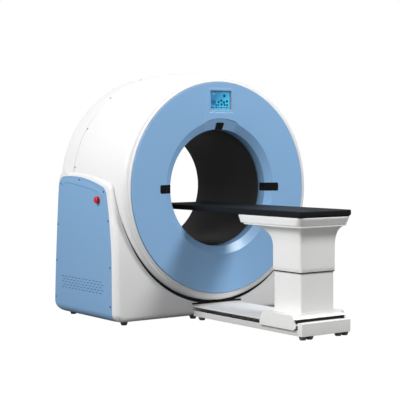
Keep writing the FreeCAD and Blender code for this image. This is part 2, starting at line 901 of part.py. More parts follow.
def cradle_mouth():
    """The eased edge round the front of the cradle."""
    return cone("cradle_mouth", "cradle_mouth_radius", "cradle_throat_radius",
                "cradle_mouth_depth", ("0", "base_front", "axis_height"), "Y")


def base_shell():
    deep = "(3 * base_wall)"
    inner = along_x("base_inner_block", side_outline(deep, deep, deep, "base_wall"),
                    "-(base_half_width - base_wall)", "base_half_width - base_wall")
    corners = along_y("base_inner_front", front_outline(
        "base_half_width - base_wall", "floor_top", "(base_corner - base_wall)", "base_hollow_top"),
        "0", "base_rear")
    hollow = cut("base_hollow", meet("base_inner_solid", inner, corners),
                 barrel_solid("cradle_backing", "cradle_gap + base_wall"))
    legs = block("base_leg_opening",
                 ("-(leg_half_width + base_wall)", "stator_depth - base_wall", "frame_top + overrun"),
                 ("2 * (leg_half_width + base_wall)", "stator_thickness + 2 * base_wall",
                  "axis_height - stator_outer_radius"))
    holes = [rod(f"foot_hole_{index}", "foot_stem + contact_gap", "2 * base_wall",
                 (x, y, "foot_height - overrun"))
             for index, (x, y) in enumerate(gantry_foot_places())]
    finish("base_shell", cut("base_cut", rounded_base_block(), barrel_solid("cradle", "cradle_gap"),
                             cradle_mouth(), hollow, legs, stop_openings("base_switch_hole"),
                             *holes))


def edge_depth(height, low, high, bulge_over):
    """The depth of a long flat arc at a height: its chord plus its bulge. The arc runs from low to
    high, each (depth, height), and bulge_over is twice its radius, negative where it bulges forward."""
    (near, foot), (far, top) = low, high
    share = f"({height} - ({foot})) / (({top}) - ({foot}))"
    bulge = f"({height} - ({foot})) * ({top} - ({height})) / ({bulge_over})"
    return f"({near} + ({far} - ({near})) * {share} + {bulge})"


def front_edge(height):
    """The base's front edge at a height above its straight part."""
    return edge_depth(height, ("base_front", "base_straight_top"),
                      ("base_front + base_lean_depth", "base_lean_top"), "-2 * base_lean_curve")


def rear_edge(height):
    return edge_depth(height, ("base_rear", "foot_height + base_heel_round"),
                      ("base_front + base_shoulder_depth", "base_shoulder_height"),
                      "2 * base_rear_curve")


def screw_places():
    """Screws round a side panel: up the front, over the crown and down the rear."""
    front = "panel_front_border + screw_inset"
    rear = "panel_edge_border - screw_inset"
    low, middle, high = "screw_first_height", "screw_second_height", "screw_third_height"
    top = "screw_front_top_height"
    places = [(f"base_front + {front}", low), (f"base_front + {front}", middle),
              (f"{front_edge(top)} + {front}", top)]
    places += [(f"{rear_edge(height)} - {rear}", height) for height in (low, middle, high)]
    return places + [
        ("base_front + base_brow_depth + brow_screw_inset", "base_brow_height - brow_screw_drop"),
        ("base_front + base_crown_depth - crown_screw_inset", "base_crown_height - crown_screw_drop"),
        ("base_front + base_shoulder_depth - shoulder_screw_inset", "base_shoulder_height"),
    ]


def panel_screws(name, clearance):
    return [rod(f"{name}_{index}", f"screw_radius + {clearance}", "panel_thickness + screw_head",
                ("-(panel_face + screw_head)", y, z), "X")
            for index, (y, z) in enumerate(screw_places())]


def vents():
    """Staggered rows of short slots; every other row is moved along by half a pitch."""
    slots = []
    for row in range(round(value("vent_rows"))):
        shift = "0" if row % 2 == 0 else "-vent_pitch / 2"
        for column in range(round(value("vent_columns"))):
            slots.append(block(f"vent_{row}_{column}", (
                "-(panel_face + overrun)", f"vent_first_depth + {shift} + {column} * vent_pitch",
                f"vent_first_height + {row} * vent_row_pitch"), (
                "panel_thickness + 2 * overrun", "vent_length", "vent_height")))
    return slots


def side_panels():
    """A thin blue skin that follows the base's flank and rolls under its lower corner."""
    skin = cut("panel_skin",
               along_y("panel_outer", front_outline("panel_face", "foot_height - panel_thickness",
                                                    "(base_corner + panel_thickness)"),
                       "0", "base_rear + base_wall"),
               along_y("panel_inner", front_outline("base_half_width", "foot_height", "base_corner"),
                       "-overrun", "base_rear + 2 * base_wall"))
    border = along_x("panel_border", side_outline("panel_front_border", "panel_top_border",
                                                  "panel_edge_border", "panel_edge_border"),
                     "-(panel_face + overrun)", "-(base_half_width - base_corner)")
    holes = panel_screws("panel_screw_hole", "contact_gap")
    panel = cut("panel_cut", meet("panel_sheet", skin, border),
                stop_opening("panel_switch_hole"), *holes, *vents())
    finish("side_panel_left", set_of("panel_left_body", [panel]))
    finish("side_panel_right", mirrored("panel_right_body", panel))
    heads = panel_screws("panel_screw", "0")
    seam = seam_screws("seam_screw", "0")
    finish("cover_screws", set_of("screw_set", heads + seam + [
        mirrored(f"{head.Name}_far", head) for head in heads]))


def gantry_foot_places():
    near, far = "base_front + foot_inset_front", "base_rear - foot_inset_rear"
    for side in ("-", ""):
        yield f"{side}(base_half_width - foot_inset)", near
        yield f"{side}(base_half_width - foot_inset)", far
        yield f"{side}foot_spread", f"{near} - foot_inset_centre"


def foot(name, x, y, stem_top):
    """A levelling foot: a rubber pad and its threaded stem."""
    pad = rod(f"{name}_pad", "foot_radius", "foot_pad", (x, y, "0"))
    stem = rod(f"{name}_stem", "foot_stem", f"{stem_top} - foot_pad", (x, y, "foot_pad"))
    return join(name, pad, stem)


def gantry_base():
    base_shell()
    side_panels()
    finish("gantry_feet", set_of("gantry_foot_set", [
        foot(f"gantry_foot_{index}", x, y, "floor_top")
        for index, (x, y) in enumerate(gantry_foot_places())]))
    frame_half = "(base_half_width - base_corner - 2 * base_wall)"
    finish("base_frame", block(
        "frame_plate_block", (f"-{frame_half}", "base_front + 4 * base_wall", "floor_top"),
        (f"2 * {frame_half}", "base_depth - base_heel_round - 8 * base_wall", "frame_plate")))
    cabinet = block("cabinet", ("base_half_width - base_wall - cabinet_inset - cabinet_width",
                                "base_front + cabinet_setback", "frame_top"),
                    ("cabinet_width", "cabinet_length", "cabinet_height"))
    finish("power_cabinets", both_sides("cabinet_pair", cabinet))


# ---- emergency stops --------------------------------------------------------------------------

def stop_opening(name):
    """The round hole that an emergency stop's body passes through, on the left flank."""
    return rod(name, "stop_body_radius + contact_gap", "2 * stop_body_length",
               ("-(panel_face + stop_body_length)", "stop_depth", "stop_height"), "X")


def stop_openings(name):
    return both_sides(name, stop_opening(f"{name}_near"))


def emergency_stops():
    def spot(x):
        return (x, "stop_depth", "stop_height")
    reach = "(panel_face + stop_collar_height)"
    for side in ("left", "right"):
        collar = rod(f"stop_collar_{side}", "stop_collar_radius", "stop_collar_height",
                     spot(f"-{reach}"), "X")
        case = rod(f"stop_case_{side}", "stop_body_radius", "stop_body_length",
                   spot("-panel_face"), "X")
        bore = rod(f"stop_bore_{side}", "stop_stem_radius + running_gap",
                   "stop_collar_height + stop_body_length - stop_floor", spot(f"-{reach}"), "X")
        solid = join(f"stop_housing_{side}_solid", collar, case)
        housing = cut(f"stop_housing_{side}_cut", solid, bore)
        tip = f"-({reach} + stop_stroke + stop_clear + stop_head_height)"
        dome = cone(f"stop_dome_{side}", "stop_crown_radius", "stop_head_radius",
                    "stop_crown_height", spot(tip), "X")
        head = rod(f"stop_head_{side}", "stop_head_radius", "stop_head_height - stop_crown_height",
                   spot(f"{tip} + stop_crown_height"), "X")
        stem = rod(f"stop_stem_{side}", "stop_stem_radius", "stop_stem_length",
                   spot(f"{tip} + stop_head_height"), "X")
        button = join(f"stop_button_{side}_solid", dome, head, stem)
        if side == "right":
            housing = mirrored("stop_housing_far", housing)
            button = mirrored("stop_button_far", button)
        finish(f"stop_housing_{side}", housing)
        finish(f"stop_button_{side}", button)


# ---- fixed frame, bearing and rotor -----------------------------------------------------------

def fixed_frame():
    plate = rod("stator_disc", "stator_outer_radius", "stator_thickness",
                ("0", "stator_depth", "axis_height"), "Y")
    legs = both_sides("stator_legs", block(
        "stator_leg", ("leg_half_width - leg_width", "stator_depth", "frame_top"),
        ("leg_width", "stator_thickness", "axis_height - stator_inner_radius - frame_top")))
    opening = rod("stator_opening", "stator_inner_radius", "2 * stator_thickness",
                  ("0", "stator_depth - overrun", "axis_height"), "Y")
    finish("stator_frame", cut("stator_cut", join("stator_solid", plate, legs), opening))
    finish("bearing_outer_race", ring("outer_race_body", "race_radius + race_gap", "race_outer_radius",
                                      "race_front + race_side_gap", "stator_depth"))
    coil_inner = "motor_ring_radius + motor_gap"
    finish("motor_coil_ring", ring("coil_ring_body", coil_inner, f"{coil_inner} + motor_ring_wall",
                                   "race_front + motor_side_gap", "stator_depth"))
    brush_inner = "slip_ring_radius + brush_length"
    holder = block("brush_holder", (brush_inner, "stator_rear", "axis_height - brush_half_height"),
                   ("brush_holder_width", "slip_ring_end - stator_rear", "2 * brush_half_height"))
    brushes = [block(f"brush_{index}", (
        "slip_ring_radius + contact_gap", f"{depth} + brush_side_gap",
        "axis_height - brush_height / 2"), (
        "brush_length", "slip_track_width - 2 * brush_side_gap", "brush_height"))
        for index, depth in enumerate(slip_track_depths())]
    finish("brush_block", join("brush_solid", holder, *brushes))


def slip_track_depths():
    """Where each track starts, counted forward from the slip ring's free end."""
    for track in range(4):
        yield f"(slip_ring_end - {track + 1} * slip_track_pitch)"


def slip_ring():
    outline = [("slip_ring_radius - slip_ring_wall", "race_front"), ("slip_ring_radius", "race_front")]
    for depth in reversed(list(slip_track_depths())):
        outline += [("slip_ring_radius", depth), ("slip_ring_radius - slip_track_depth", depth),
                    ("slip_ring_radius - slip_track_depth", f"{depth} + slip_track_width"),
                    ("slip_ring_radius", f"{depth} + slip_track_width")]
    outline += [("slip_ring_radius", "slip_ring_end"),
                ("slip_ring_radius - slip_ring_wall", "slip_ring_end")]
    finish("slip_ring", turned("slip_ring_body", outline))


def rotor():
    finish("rotor_plate", ring("rotor_plate_body", "rotor_inner_radius", "rotor_outer_radius",
                               "rotor_front", "race_front"))
    finish("bearing_inner_race", ring("inner_race_body", "race_inner_radius", "race_radius",
                                      "race_front", "stator_depth - contact_gap"))
    finish("motor_magnet_ring", ring(
        "magnet_ring_body", "motor_ring_radius - motor_ring_wall", "motor_ring_radius",
        "race_front", "stator_depth - motor_side_gap"))
    slip_ring()
    tube_and_collimator()
    detector()
    rotor_case("high_voltage_generator", "generator")
    rotor_case("heat_exchanger", "exchanger")
    rotor_case("data_processor", "processor")
    inner = "detector_radius + detector_wall + counterweight_gap"
    arc = ring("counterweight_ring", inner, f"{inner} + counterweight_wall",
               "rotor_front - counterweight_length", "rotor_front")
    slice_ = wedge("counterweight_slice", "counterweight_angle", "counterweight_sweep_angle",
                   "0", "stator_depth")
    finish("counterweight", meet("counterweight_body", arc, slice_))


def rotor_case(label, name):
    """A closed housing on the rotor plate's front, set out along a spoke by its own sizes."""
    finish(label, radial_block(
        f"{name}_body", f"{name}_angle", f"{name}_orbit - {name}_height / 2", f"{name}_height",
        f"{name}_width", f"rotor_front - {name}_length", f"{name}_length"))


def tube_and_collimator():
    start = ("0", "rotor_front - tube_length", "axis_height + tube_orbit")
    barrel = rod("tube_barrel", "tube_radius", "tube_length", start, "Y")
    caps = [rod("tube_front_cap", "tube_radius + tube_cap_rim", "tube_cap", start, "Y"),
            rod("tube_rear_cap", "tube_radius + tube_cap_rim", "tube_cap",
                ("0", "rotor_front - tube_cap", "axis_height + tube_orbit"), "Y")]
    finish("xray_tube", join("tube_solid", barrel, *caps))
    top = "tube_orbit - tube_radius - tube_cap_rim - contact_gap"
    jaw = block("collimator_jaw", ("-collimator_width / 2", "rotor_front - tube_length + 2 * tube_cap",
                                   "axis_height + collimator_inner"),
                ("collimator_width", "collimator_length", f"{top} - collimator_inner"))
    arm = block("collimator_arm", ("-collimator_width / 4", "rotor_front - tube_length + 3 * tube_cap",
                                   "axis_height + collimator_inner"),
                ("collimator_width / 2", "tube_length - 3 * tube_cap", "tube_cap"))
    slot = block("collimator_slot", ("-collimator_width / 3",
                                     "rotor_front - tube_length + 2 * tube_cap + collimator_length / 3",
                                     "axis_height + collimator_inner - overrun"),
                 ("collimator_width * 2 / 3", "collimator_length / 8", "tube_orbit"))
    finish("collimator", cut("collimator_cut", join("collimator_solid", jaw, arm), slot))


def detector():
    arc = ring("detector_ring", "detector_radius", "detector_radius + detector_wall",
               "rotor_front - detector_depth", "rotor_front")
    slice_ = wedge("detector_slice", "270", "detector_sweep_angle", "0", "stator_depth")
    finish("detector_carrier", meet("detector_arc", arc, slice_))
    count = round(value("detector_count"))
    modules = []
    for index in range(count):
        angle = f"(270 + detector_sweep_angle * ({index} + 0.5 - {count} / 2) / {count})"
        modules.append(radial_block(
            f"detector_module_{index}", angle,
            "detector_radius - detector_module - detector_module_gap",
            "detector_module", "detector_module_width",
            "rotor_front - detector_depth + detector_module_setback", "detector_module_length"))
    finish("detector_modules", set_of("detector_module_set", modules))


# ---- table base -------------------------------------------------------------------------------

def table_base():
    half, wall = "table_half_width", "pan_wall"
    near, far = "-inner_end", "base_front - contact_gap"
    tray = along_y("pan_tray", [
        (f"-{half}", "foot_height"), (half, "foot_height"), (half, "pan_top"),
        (f"{half} - {wall}", "pan_top"), (f"{half} - {wall}", "pan_floor"),
        (f"-({half} - {wall})", "pan_floor"), (f"-({half} - {wall})", "pan_top"),
        (f"-{half}", "pan_top")], near, far)
    under = "(lid_top - lid_sheet)"
    spine = along_y("pan_spine", [
        ("-spine_half_width", "pan_floor"), ("-(spine_half_width - spine_wall)", "pan_floor"),
        ("-(spine_half_width - spine_wall)", f"{under} - spine_wall"),
        ("spine_half_width - spine_wall", f"{under} - spine_wall"),
        ("spine_half_width - spine_wall", "pan_floor"), ("spine_half_width", "pan_floor"),
        ("spine_half_width", under), ("-spine_half_width", under)], near, far)
    finish("table_base_pan", join("pan_solid", tray, spine))
    finish("table_base_lid", along_y("lid_body", lid_outline(), "-inner_end + contact_gap", far))
    end_block()
    travel_rails()
    feet = [foot(f"table_foot_{index}", x, y, "foot_height")
            for index, (x, y) in enumerate(table_foot_places())]
    finish("table_feet", set_of("table_foot_set", feet))
    finish("dock_seal", block(
        "seal_strip", ("-seal_half_width", "base_front - seal_thickness", "lid_top"),
        ("2 * seal_half_width", "seal_thickness", "seal_height")))


def lid_outline():
    """Folded sheet over the rails: a short upright edge, a shallow slope and a flat top."""
    half, sheet_wall = "table_half_width", "lid_sheet"
    knee, flat = "(lid_foot + lid_edge)", "(table_half_width - lid_slope)"
    return [
        (f"-{half}", "lid_foot"), (f"-({half} - {sheet_wall})", "lid_foot"),
        (f"-({half} - {sheet_wall})", f"{knee} - lid_bend"), (f"-{flat}", f"lid_top - {sheet_wall}"),
        (flat, f"lid_top - {sheet_wall}"), (f"{half} - {sheet_wall}", f"{knee} - lid_bend"),
        (f"{half} - {sheet_wall}", "lid_foot"), (half, "lid_foot"), (half, knee),
        (flat, "lid_top"), (f"-{flat}", "lid_top"), (f"-{half}", knee)]


def table_foot_places():
    near, far = "-(table_end - table_foot_inset)", "-table_foot_setback"
    for side in ("-", ""):
        yield f"{side}(table_half_width - table_foot_inset)", near
        yield f"{side}(table_half_width - table_foot_inset_inner)", near
        yield f"{side}(table_half_width - table_foot_inset)", far


def end_block():
    """The base's outer end, with a boss that carries the travel screw."""
    depth = "end_block_depth"
    outer = block("end_outer", ("-table_half_width", "-table_end", "foot_height"),
                  ("2 * table_half_width", depth, "lid_top - foot_height"))
    pocket = block("end_pocket", ("-(table_half_width - 2 * pan_wall)", "-table_end + 2 * pan_wall",
                                  "foot_height + 2 * pan_wall"),
                   ("2 * (table_half_width - 2 * pan_wall)", depth,
                    "lid_top - foot_height - 4 * pan_wall"))
    boss = block("screw_boss",
                 ("screw_shaft_offset - nut_radius", "-table_end + pan_wall", "pan_floor"),
                 ("2 * nut_radius", f"{depth} + boss_reach",
                  "screw_shaft_height + nut_radius - pan_floor"))
    bore = rod("screw_boss_bore", "screw_shaft_radius + running_gap", "2 * end_block_depth",
               ("screw_shaft_offset", "-inner_end", "screw_shaft_height"), "Y")
    solid = join("end_solid", cut("end_shell", outer, pocket), boss)
    finish("table_end_block", cut("end_cut", solid, bore))


def travel_rails():
    rail = block("rail", ("rail_offset - rail_width / 2", "-inner_end + contact_gap", "pan_floor"),
                 ("rail_width", "inner_end", "rail_height"))
    finish("travel_rails", both_sides("rail_pair", rail))
    size = "drive_motor_size"
    finish("travel_motor", block(
        "motor_box", (f"screw_shaft_offset - {size} / 2", "-drive_motor_front", "pan_floor"),
        (size, "drive_motor_length", f"screw_shaft_height + {size} / 2 - pan_floor")))
    start = "-(inner_end - contact_gap)"
    finish("travel_screw", rod("screw_shaft", "screw_shaft_radius",
                               "inner_end - drive_motor_front - 2 * contact_gap",
                               ("screw_shaft_offset", start, "screw_shaft_height"), "Y"))


# ---- carriage and column ----------------------------------------------------------------------

def carriage():
    low = "block_foot"
    blocks = []
    for index, side in enumerate(("-", "+")):
        body = block(f"bearing_{index}", (
            "rail_offset - block_width / 2",
            f"-column_depth {side} block_spacing / 2 - block_length / 2", low), (
            "block_width", "block_length", "block_height"))
        blocks.append(body)
    channel = block("bearing_channel", ("rail_offset - rail_width / 2 - contact_gap",
                                        "-column_depth - block_spacing", low), (
        "rail_width + 2 * contact_gap", "2 * block_spacing", f"rail_top + contact_gap - {low}"))
    pair = cut("bearing_cut", join("bearing_bodies", *blocks), channel)
    finish("bearing_blocks", both_sides("bearing_pair", pair))
    saddle()
    nut_half = "nut_radius + nut_border"
    nut = block("nut_body", (f"screw_shaft_offset - ({nut_half})", "-column_depth - nut_length / 2",
                             "screw_shaft_height - nut_radius"),
                (f"rail_offset - block_width / 2 - screw_shaft_offset + {nut_half}", "nut_length",
                 "block_top + arm_thickness - screw_shaft_height + nut_radius"))
    bore = rod("nut_bore", "screw_shaft_radius + running_gap", "2 * nut_length",
               ("screw_shaft_offset", "-column_depth - nut_length", "screw_shaft_height"), "Y")
    finish("travel_nut", cut("nut_cut", nut, bore))


def saddle():
    """A bent plate that bridges the lid and hooks through both side slots on to the rails."""
    outer, inner = "saddle_side_outer", "saddle_side_inner"
    tip, arm_top = "(rail_offset - block_width / 2)", "(block_top + arm_thickness)"
    right = [(tip, "block_top"), (outer, "block_top"), (outer, "saddle_top - saddle_bevel"),
             (f"{outer} - saddle_bevel", "saddle_top")]
    inside = [(inner, "saddle_foot"), (inner, arm_top), (tip, arm_top)]
    left = [(f"-({x})", z) for x, z in reversed(right)]
    left_inside = [(f"-({x})", z) for x, z in reversed(inside)]
    half = "saddle_length / 2"
    finish("saddle", along_y("saddle_body", right + left + left_inside + inside,
                             f"-(column_depth + {half})", f"-(column_depth - {half})"))


def carriage_cover():
    near, far = "-(column_depth + carriage_outer_reach)", "-(column_depth - carriage_inner_reach)"
    floor = "foot_height + carriage_skirt - carriage_skirt_drop"
    half, shoulder = "carriage_half_width", "(carriage_half_width - carriage_bevel)"
    section = along_y("cover_section", [
        (f"-{half}", floor), (half, floor), (half, "carriage_top - carriage_bevel"),
        (shoulder, "carriage_top"), (f"-{shoulder}", "carriage_top"),
        (f"-{half}", "carriage_top - carriage_bevel")], near, far)
    above = "carriage_top + overrun"
    profile = along_x("cover_profile", [
        (near, floor), (far, floor), (f"{far} - carriage_skirt_slant", above),
        (f"{near} + carriage_end_slope", above), (f"{near} + carriage_end_slope", "carriage_top"),
        (near, "carriage_top - carriage_end_drop")],
        f"-({half} + overrun)", f"{half} + overrun")
    corner = "(carriage_half_width - carriage_end_inset)"
    plan = along_z("cover_plan", [
        (f"-{corner}", near), (corner, near), (half, f"{near} + carriage_end_bevel"), (half, far),
        (f"-{half}", far), (f"-{half}", f"{near} + carriage_end_bevel")], "foot_height", above)
    skin = meet("cover_skin", section, profile, plan)
    outer, bevel = "(saddle_side_outer + contact_gap)", "saddle_bevel"
    top = "(saddle_top + contact_gap)"
    inside = along_y("cover_inside", [
        (f"-{outer}", "foot_height"), (outer, "foot_height"), (outer, f"{top} - {bevel}"),
        (f"{outer} - {bevel}", top), (f"-({outer} - {bevel})", top), (f"-{outer}", f"{top} - {bevel}")],
        f"{near} - overrun", f"{far} + overrun")
    ledge = "(carriage_half_width - carriage_ledge)"
    pocket_near = f"{near} + carriage_end_slope + carriage_wall"
    pocket = block("cover_pocket", (f"-{ledge}", pocket_near, "saddle_top"), (
        f"2 * {ledge}", f"{far} - carriage_skirt_slant - carriage_wall - ({pocket_near})",
        "carriage_top - carriage_wall - saddle_top"))
    plinth = column_box("cover_plinth", "plinth_border", "plinth_border", "carriage_top - overrun",
                        "carriage_top + plinth_height", "plinth_corner")
    opening = column_box("cover_opening", "contact_gap", "contact_gap", "saddle_top",
                         "carriage_top + 2 * plinth_height", "column_corner")
    shell = join("cover_solid", cut("cover_hollow", skin, inside, pocket), plinth)
    finish("carriage_cover", cut("cover_cut", shell, opening))


def column_box(name, border, depth_border, low, high, corner):
    """An upright prism round the column, larger than its lower stage by a border."""
    return along_z(name, rounded_box(
        f"(column_half_width + {border})", f"(-column_depth - column_half_depth - ({depth_border}))",
        f"(-column_depth + column_half_depth + ({depth_border}))", f"({corner})"), low, high)


def lower_column():
    outer = column_box("lower_outer", "0", "0", "saddle_top", "column_top", "column_corner")
    inner = column_box("lower_inner", "-column_wall", "-column_wall", "saddle_top - overrun",
                       "column_top + overrun", "column_corner - column_wall")
    finish("lower_column", cut("lower_cut", outer, inner))
    low = "column_top - pad_height - column_wall"
    side_gap = "(sleeve_border - sleeve_wall - contact_gap)"
    face_gap = "(sleeve_depth_border - sleeve_wall - contact_gap)"
    side_pad = block("side_pad", ("column_half_width", "-column_depth - pad_width / 2", low),
                     (side_gap, "pad_width", "pad_height"))
    front_pad = block("front_pad", ("-pad_width / 2", "-column_depth + column_half_depth", low),
                      ("pad_width", face_gap, "pad_height"))
    back_pad = block("back_pad",
                     ("-pad_width / 2", f"-column_depth - column_half_depth - {face_gap}", low),
                     ("pad_width", face_gap, "pad_height"))
    finish("guide_pads", set_of("pad_set", [side_pad, mirrored("side_pad_far", side_pad),
                                            front_pad, back_pad]))


def lift_actuator():
    centre = ("0", "-column_depth")
    gearbox = block("gearbox",
                    ("-gearbox_width / 2", "-column_depth - gearbox_depth / 2", "saddle_top"),
                    ("gearbox_width", "gearbox_depth", "gearbox_height"))
    tube = cut("actuator_tube",
               rod("actuator_outer", "actuator_radius", "actuator_top - gearbox_top",
                   (*centre, "gearbox_top")),
               rod("actuator_bore", "piston_radius + running_gap", "actuator_top",
                   (*centre, "gearbox_top")))
    finish("lift_actuator", join("actuator_solid", gearbox, tube))
    piston = rod("piston_rod", "piston_radius", "head_foot - piston_foot", (*centre, "piston_foot"))
    head = block("piston_head", ("-(column_half_width - 2 * column_wall)",
                                 "-column_depth - column_half_depth + 2 * column_wall", "head_foot"),
                 ("2 * (column_half_width - 2 * column_wall)",
                  "2 * (column_half_depth - 2 * column_wall)", "head_plate"))
    finish("lift_piston", join("piston_solid", piston, head))


FLARE_STEPS = 8


def flare_share(step):
    """How far out the flare has come at a step of its height: a flattened quarter ellipse."""
    rise = f"({step} / {FLARE_STEPS})"
    return f"(1 - (1 - {rise} ^ flare_power) ^ (1 / flare_power))"


def flare(name, inset, start, stop="flare_top"):
    """The sleeve's spreading head: plan outlines lofted up from the straight sleeve."""
    body = doc.addObject("PartDesign::Body", name)
    sections = []
    for step in range(FLARE_STEPS + 1):
        share = flare_share(step)
        half = f"(upper_half_width - {inset} + flare_side * {share})"
        front = f"(-column_depth - upper_half_depth + {inset} - flare_outer * {share})"
        back = f"(-column_depth + upper_half_depth - {inset} + flare_inner * {share})"
        corner = f"(sleeve_corner + flare_corner * {share})"
        level = f"flare_start + (flare_rim - flare_start) * {step} / {FLARE_STEPS}"
        sections.append(sketch_outline(body, f"{name}_{step}", "XY_Plane",
                                       rounded_box(half, front, back, corner), level))
    loft = body.newObject("PartDesign::AdditiveLoft", f"{name}_loft")
    loft.Profile = sections[0]
    loft.Sections = sections[1:]
    loft.Ruled = True
    return body, (half, front, back, corner)


def upper_column():
    outer, rim = flare("flare_outer_body", "0", "flare_start")
    inner, rim_inside = flare("flare_inner_body", "sleeve_wall", "flare_start")
    stem = column_box("sleeve_outer", "sleeve_border", "sleeve_depth_border", "sleeve_foot",
                      "flare_start", "sleeve_corner")
    bore = column_box("sleeve_inner", "(sleeve_border - sleeve_wall)",
                      "(sleeve_depth_border - sleeve_wall)", "sleeve_foot - overrun",
                      "flare_start + overrun", "sleeve_corner")
    band = along_z("flare_rim_band", rounded_box(*rim), "flare_rim", "flare_top")
    band_bore = along_z("flare_rim_bore", rounded_box(*rim_inside), "flare_rim - overrun",
                        "flare_top + overrun")
    solid = join("sleeve_solid", stem, outer, band)
    finish("upper_column", cut("sleeve_cut", solid, bore, inner, band_bore))


# ---- tray and tabletop ------------------------------------------------------------------------

def tray_solid(name, inset, low, high):
    """The tray's tapered box: its foot is shorter and narrower than its rim."""
    body = doc.addObject("PartDesign::Body", name)
    sections = []
    for level, half, outer, inner in (
            (low, "tray_foot_half_width", "tray_outer_foot", "tray_inner_foot"),
            (high, "tray_half_width", "tray_outer_end", "tray_inner_end")):
        plan = rounded_box(f"({half} - {inset})", f"(-{outer} + {inset})", f"(-{inner} - {inset})",
                           f"(tray_corner - {inset})")
        sections.append(sketch_outline(body, f"{name}_{len(sections)}", "XY_Plane", plan, level))
    loft = body.newObject("PartDesign::AdditiveLoft", f"{name}_loft")
    loft.Profile = sections[0]
    loft.Sections = sections[1:]
    loft.Ruled = True
    return body


def tray():
    outer = tray_solid("tray_outer", "0", "flare_top", "tray_top")
    inner = tray_solid("tray_inner", "tray_wall", "flare_top + tray_wall", "tray_top + tray_wall")
    finish("tray", cut("tray_cut", outer, inner))
    edge = "gasket_inset"
    ring_out = along_z("gasket_outer", rounded_box(
        f"(tray_half_width - {edge})", f"(-tray_outer_end + {edge})", f"(-tray_inner_end - {edge})",
        "(tray_corner - gasket_inset)"), "tray_top", "tabletop_foot")
    ring_in = along_z("gasket_inner", rounded_box(
        f"(tray_half_width - {edge} - gasket_width)", f"(-tray_outer_end + {edge} + gasket_width)",
        f"(-tray_inner_end - {edge} - gasket_width)", "gasket_inner_corner"),
        "tray_top - overrun", "tabletop_foot + overrun")
    finish("tray_gasket", cut("gasket_cut", ring_out, ring_in))
    beam = block("beam", ("beam_offset - beam_width / 2", "-tray_outer_foot + beam_inset",
                          "flare_top + tray_wall"),
                 ("beam_width", "tray_outer_foot - tray_inner_foot - 2 * beam_inset",
                  "tabletop_foot - flare_top - tray_wall"))
    finish("tabletop_beams", both_sides("beam_pair", beam))


def tabletop():
    body = along_z("tabletop_body", rounded_box("tabletop_half_width", "(-table_end)",
                                                "tabletop_inner_end", "tabletop_corner"),
                   "tabletop_foot", "tabletop_foot + tabletop_thickness")
    doc.recompute()
    rounding = body.newObject("PartDesign::Fillet", "tabletop_edges")
    pad = rounding.BaseFeature
    ends = [f"Face{number}" for number, face in enumerate(pad.Shape.Faces, start=1)
            if face.BoundBox.ZLength < TOUCHING]
    rounding.Base = (pad, ends)
    bind(rounding, "Radius", "tabletop_round")
    finish("tabletop", body)


# ---- build and write out ----------------------------------------------------------------------

def check_document():
    doc.recompute()
    failed = [item.Name for item in doc.Objects
              if "Invalid" in item.State or "Error" in item.State]
    if failed:
        raise RuntimeError(f"these failed to build: {failed}")
    for piece in pieces:
        if piece.Shape.isNull() or not piece.Shape.isValid() or not piece.Shape.Solids:
            raise RuntimeError(f"{piece.Label} has no valid solid")


def write_parts():
    os.makedirs("parts", exist_ok=True)
    for piece in pieces:
        piece.Shape.exportStep(f"parts/{piece.Label}.step")
        solids, litres = len(piece.Shape.Solids), piece.Shape.Volume / 1e6
        print(f"{piece.Label}: {solids} solid(s), {litres:.3f} litres")


fill_sheet()
drum_covers()
front_covers()
light_windows()
display()
gantry_base()
emergency_stops()
fixed_frame()
rotor()
table_base()
carriage()
carriage_cover()
lower_column()
lift_actuator()
upper_column()
tray()
tabletop()
check_document()
write_parts()
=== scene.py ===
"""Looks for a ring-shaped CT scanner and its patient table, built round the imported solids."""

import json
import math

import bmesh
import bpy
import numpy as np
from bpy.props import FloatProperty, FloatVectorProperty, PointerProperty
from mathutils import Matrix, Vector


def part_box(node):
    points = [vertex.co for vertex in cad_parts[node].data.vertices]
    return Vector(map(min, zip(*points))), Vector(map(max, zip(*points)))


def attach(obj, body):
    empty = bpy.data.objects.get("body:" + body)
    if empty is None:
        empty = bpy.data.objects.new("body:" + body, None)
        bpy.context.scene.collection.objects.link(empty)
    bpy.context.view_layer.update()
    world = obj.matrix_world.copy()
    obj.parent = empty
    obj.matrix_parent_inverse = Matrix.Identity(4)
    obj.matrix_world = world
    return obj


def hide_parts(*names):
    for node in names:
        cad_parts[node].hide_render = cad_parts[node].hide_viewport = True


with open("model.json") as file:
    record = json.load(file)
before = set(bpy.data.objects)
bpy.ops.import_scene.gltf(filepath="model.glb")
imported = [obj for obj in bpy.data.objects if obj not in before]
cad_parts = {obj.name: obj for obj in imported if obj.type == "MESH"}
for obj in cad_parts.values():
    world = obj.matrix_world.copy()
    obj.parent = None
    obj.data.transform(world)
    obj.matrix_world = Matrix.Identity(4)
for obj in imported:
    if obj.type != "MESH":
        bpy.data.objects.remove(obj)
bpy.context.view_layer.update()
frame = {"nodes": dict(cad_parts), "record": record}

bl_info = {
    "name": "CT scanner dressing",
    "version": (1, 0, 0),
    "blender": (4, 5, 0),
    "location": "3D View > Sidebar > Scanner",
    "description": "Builds the covers, table and finishes of a CT scanner round its solids",
    "category": "Object",
}

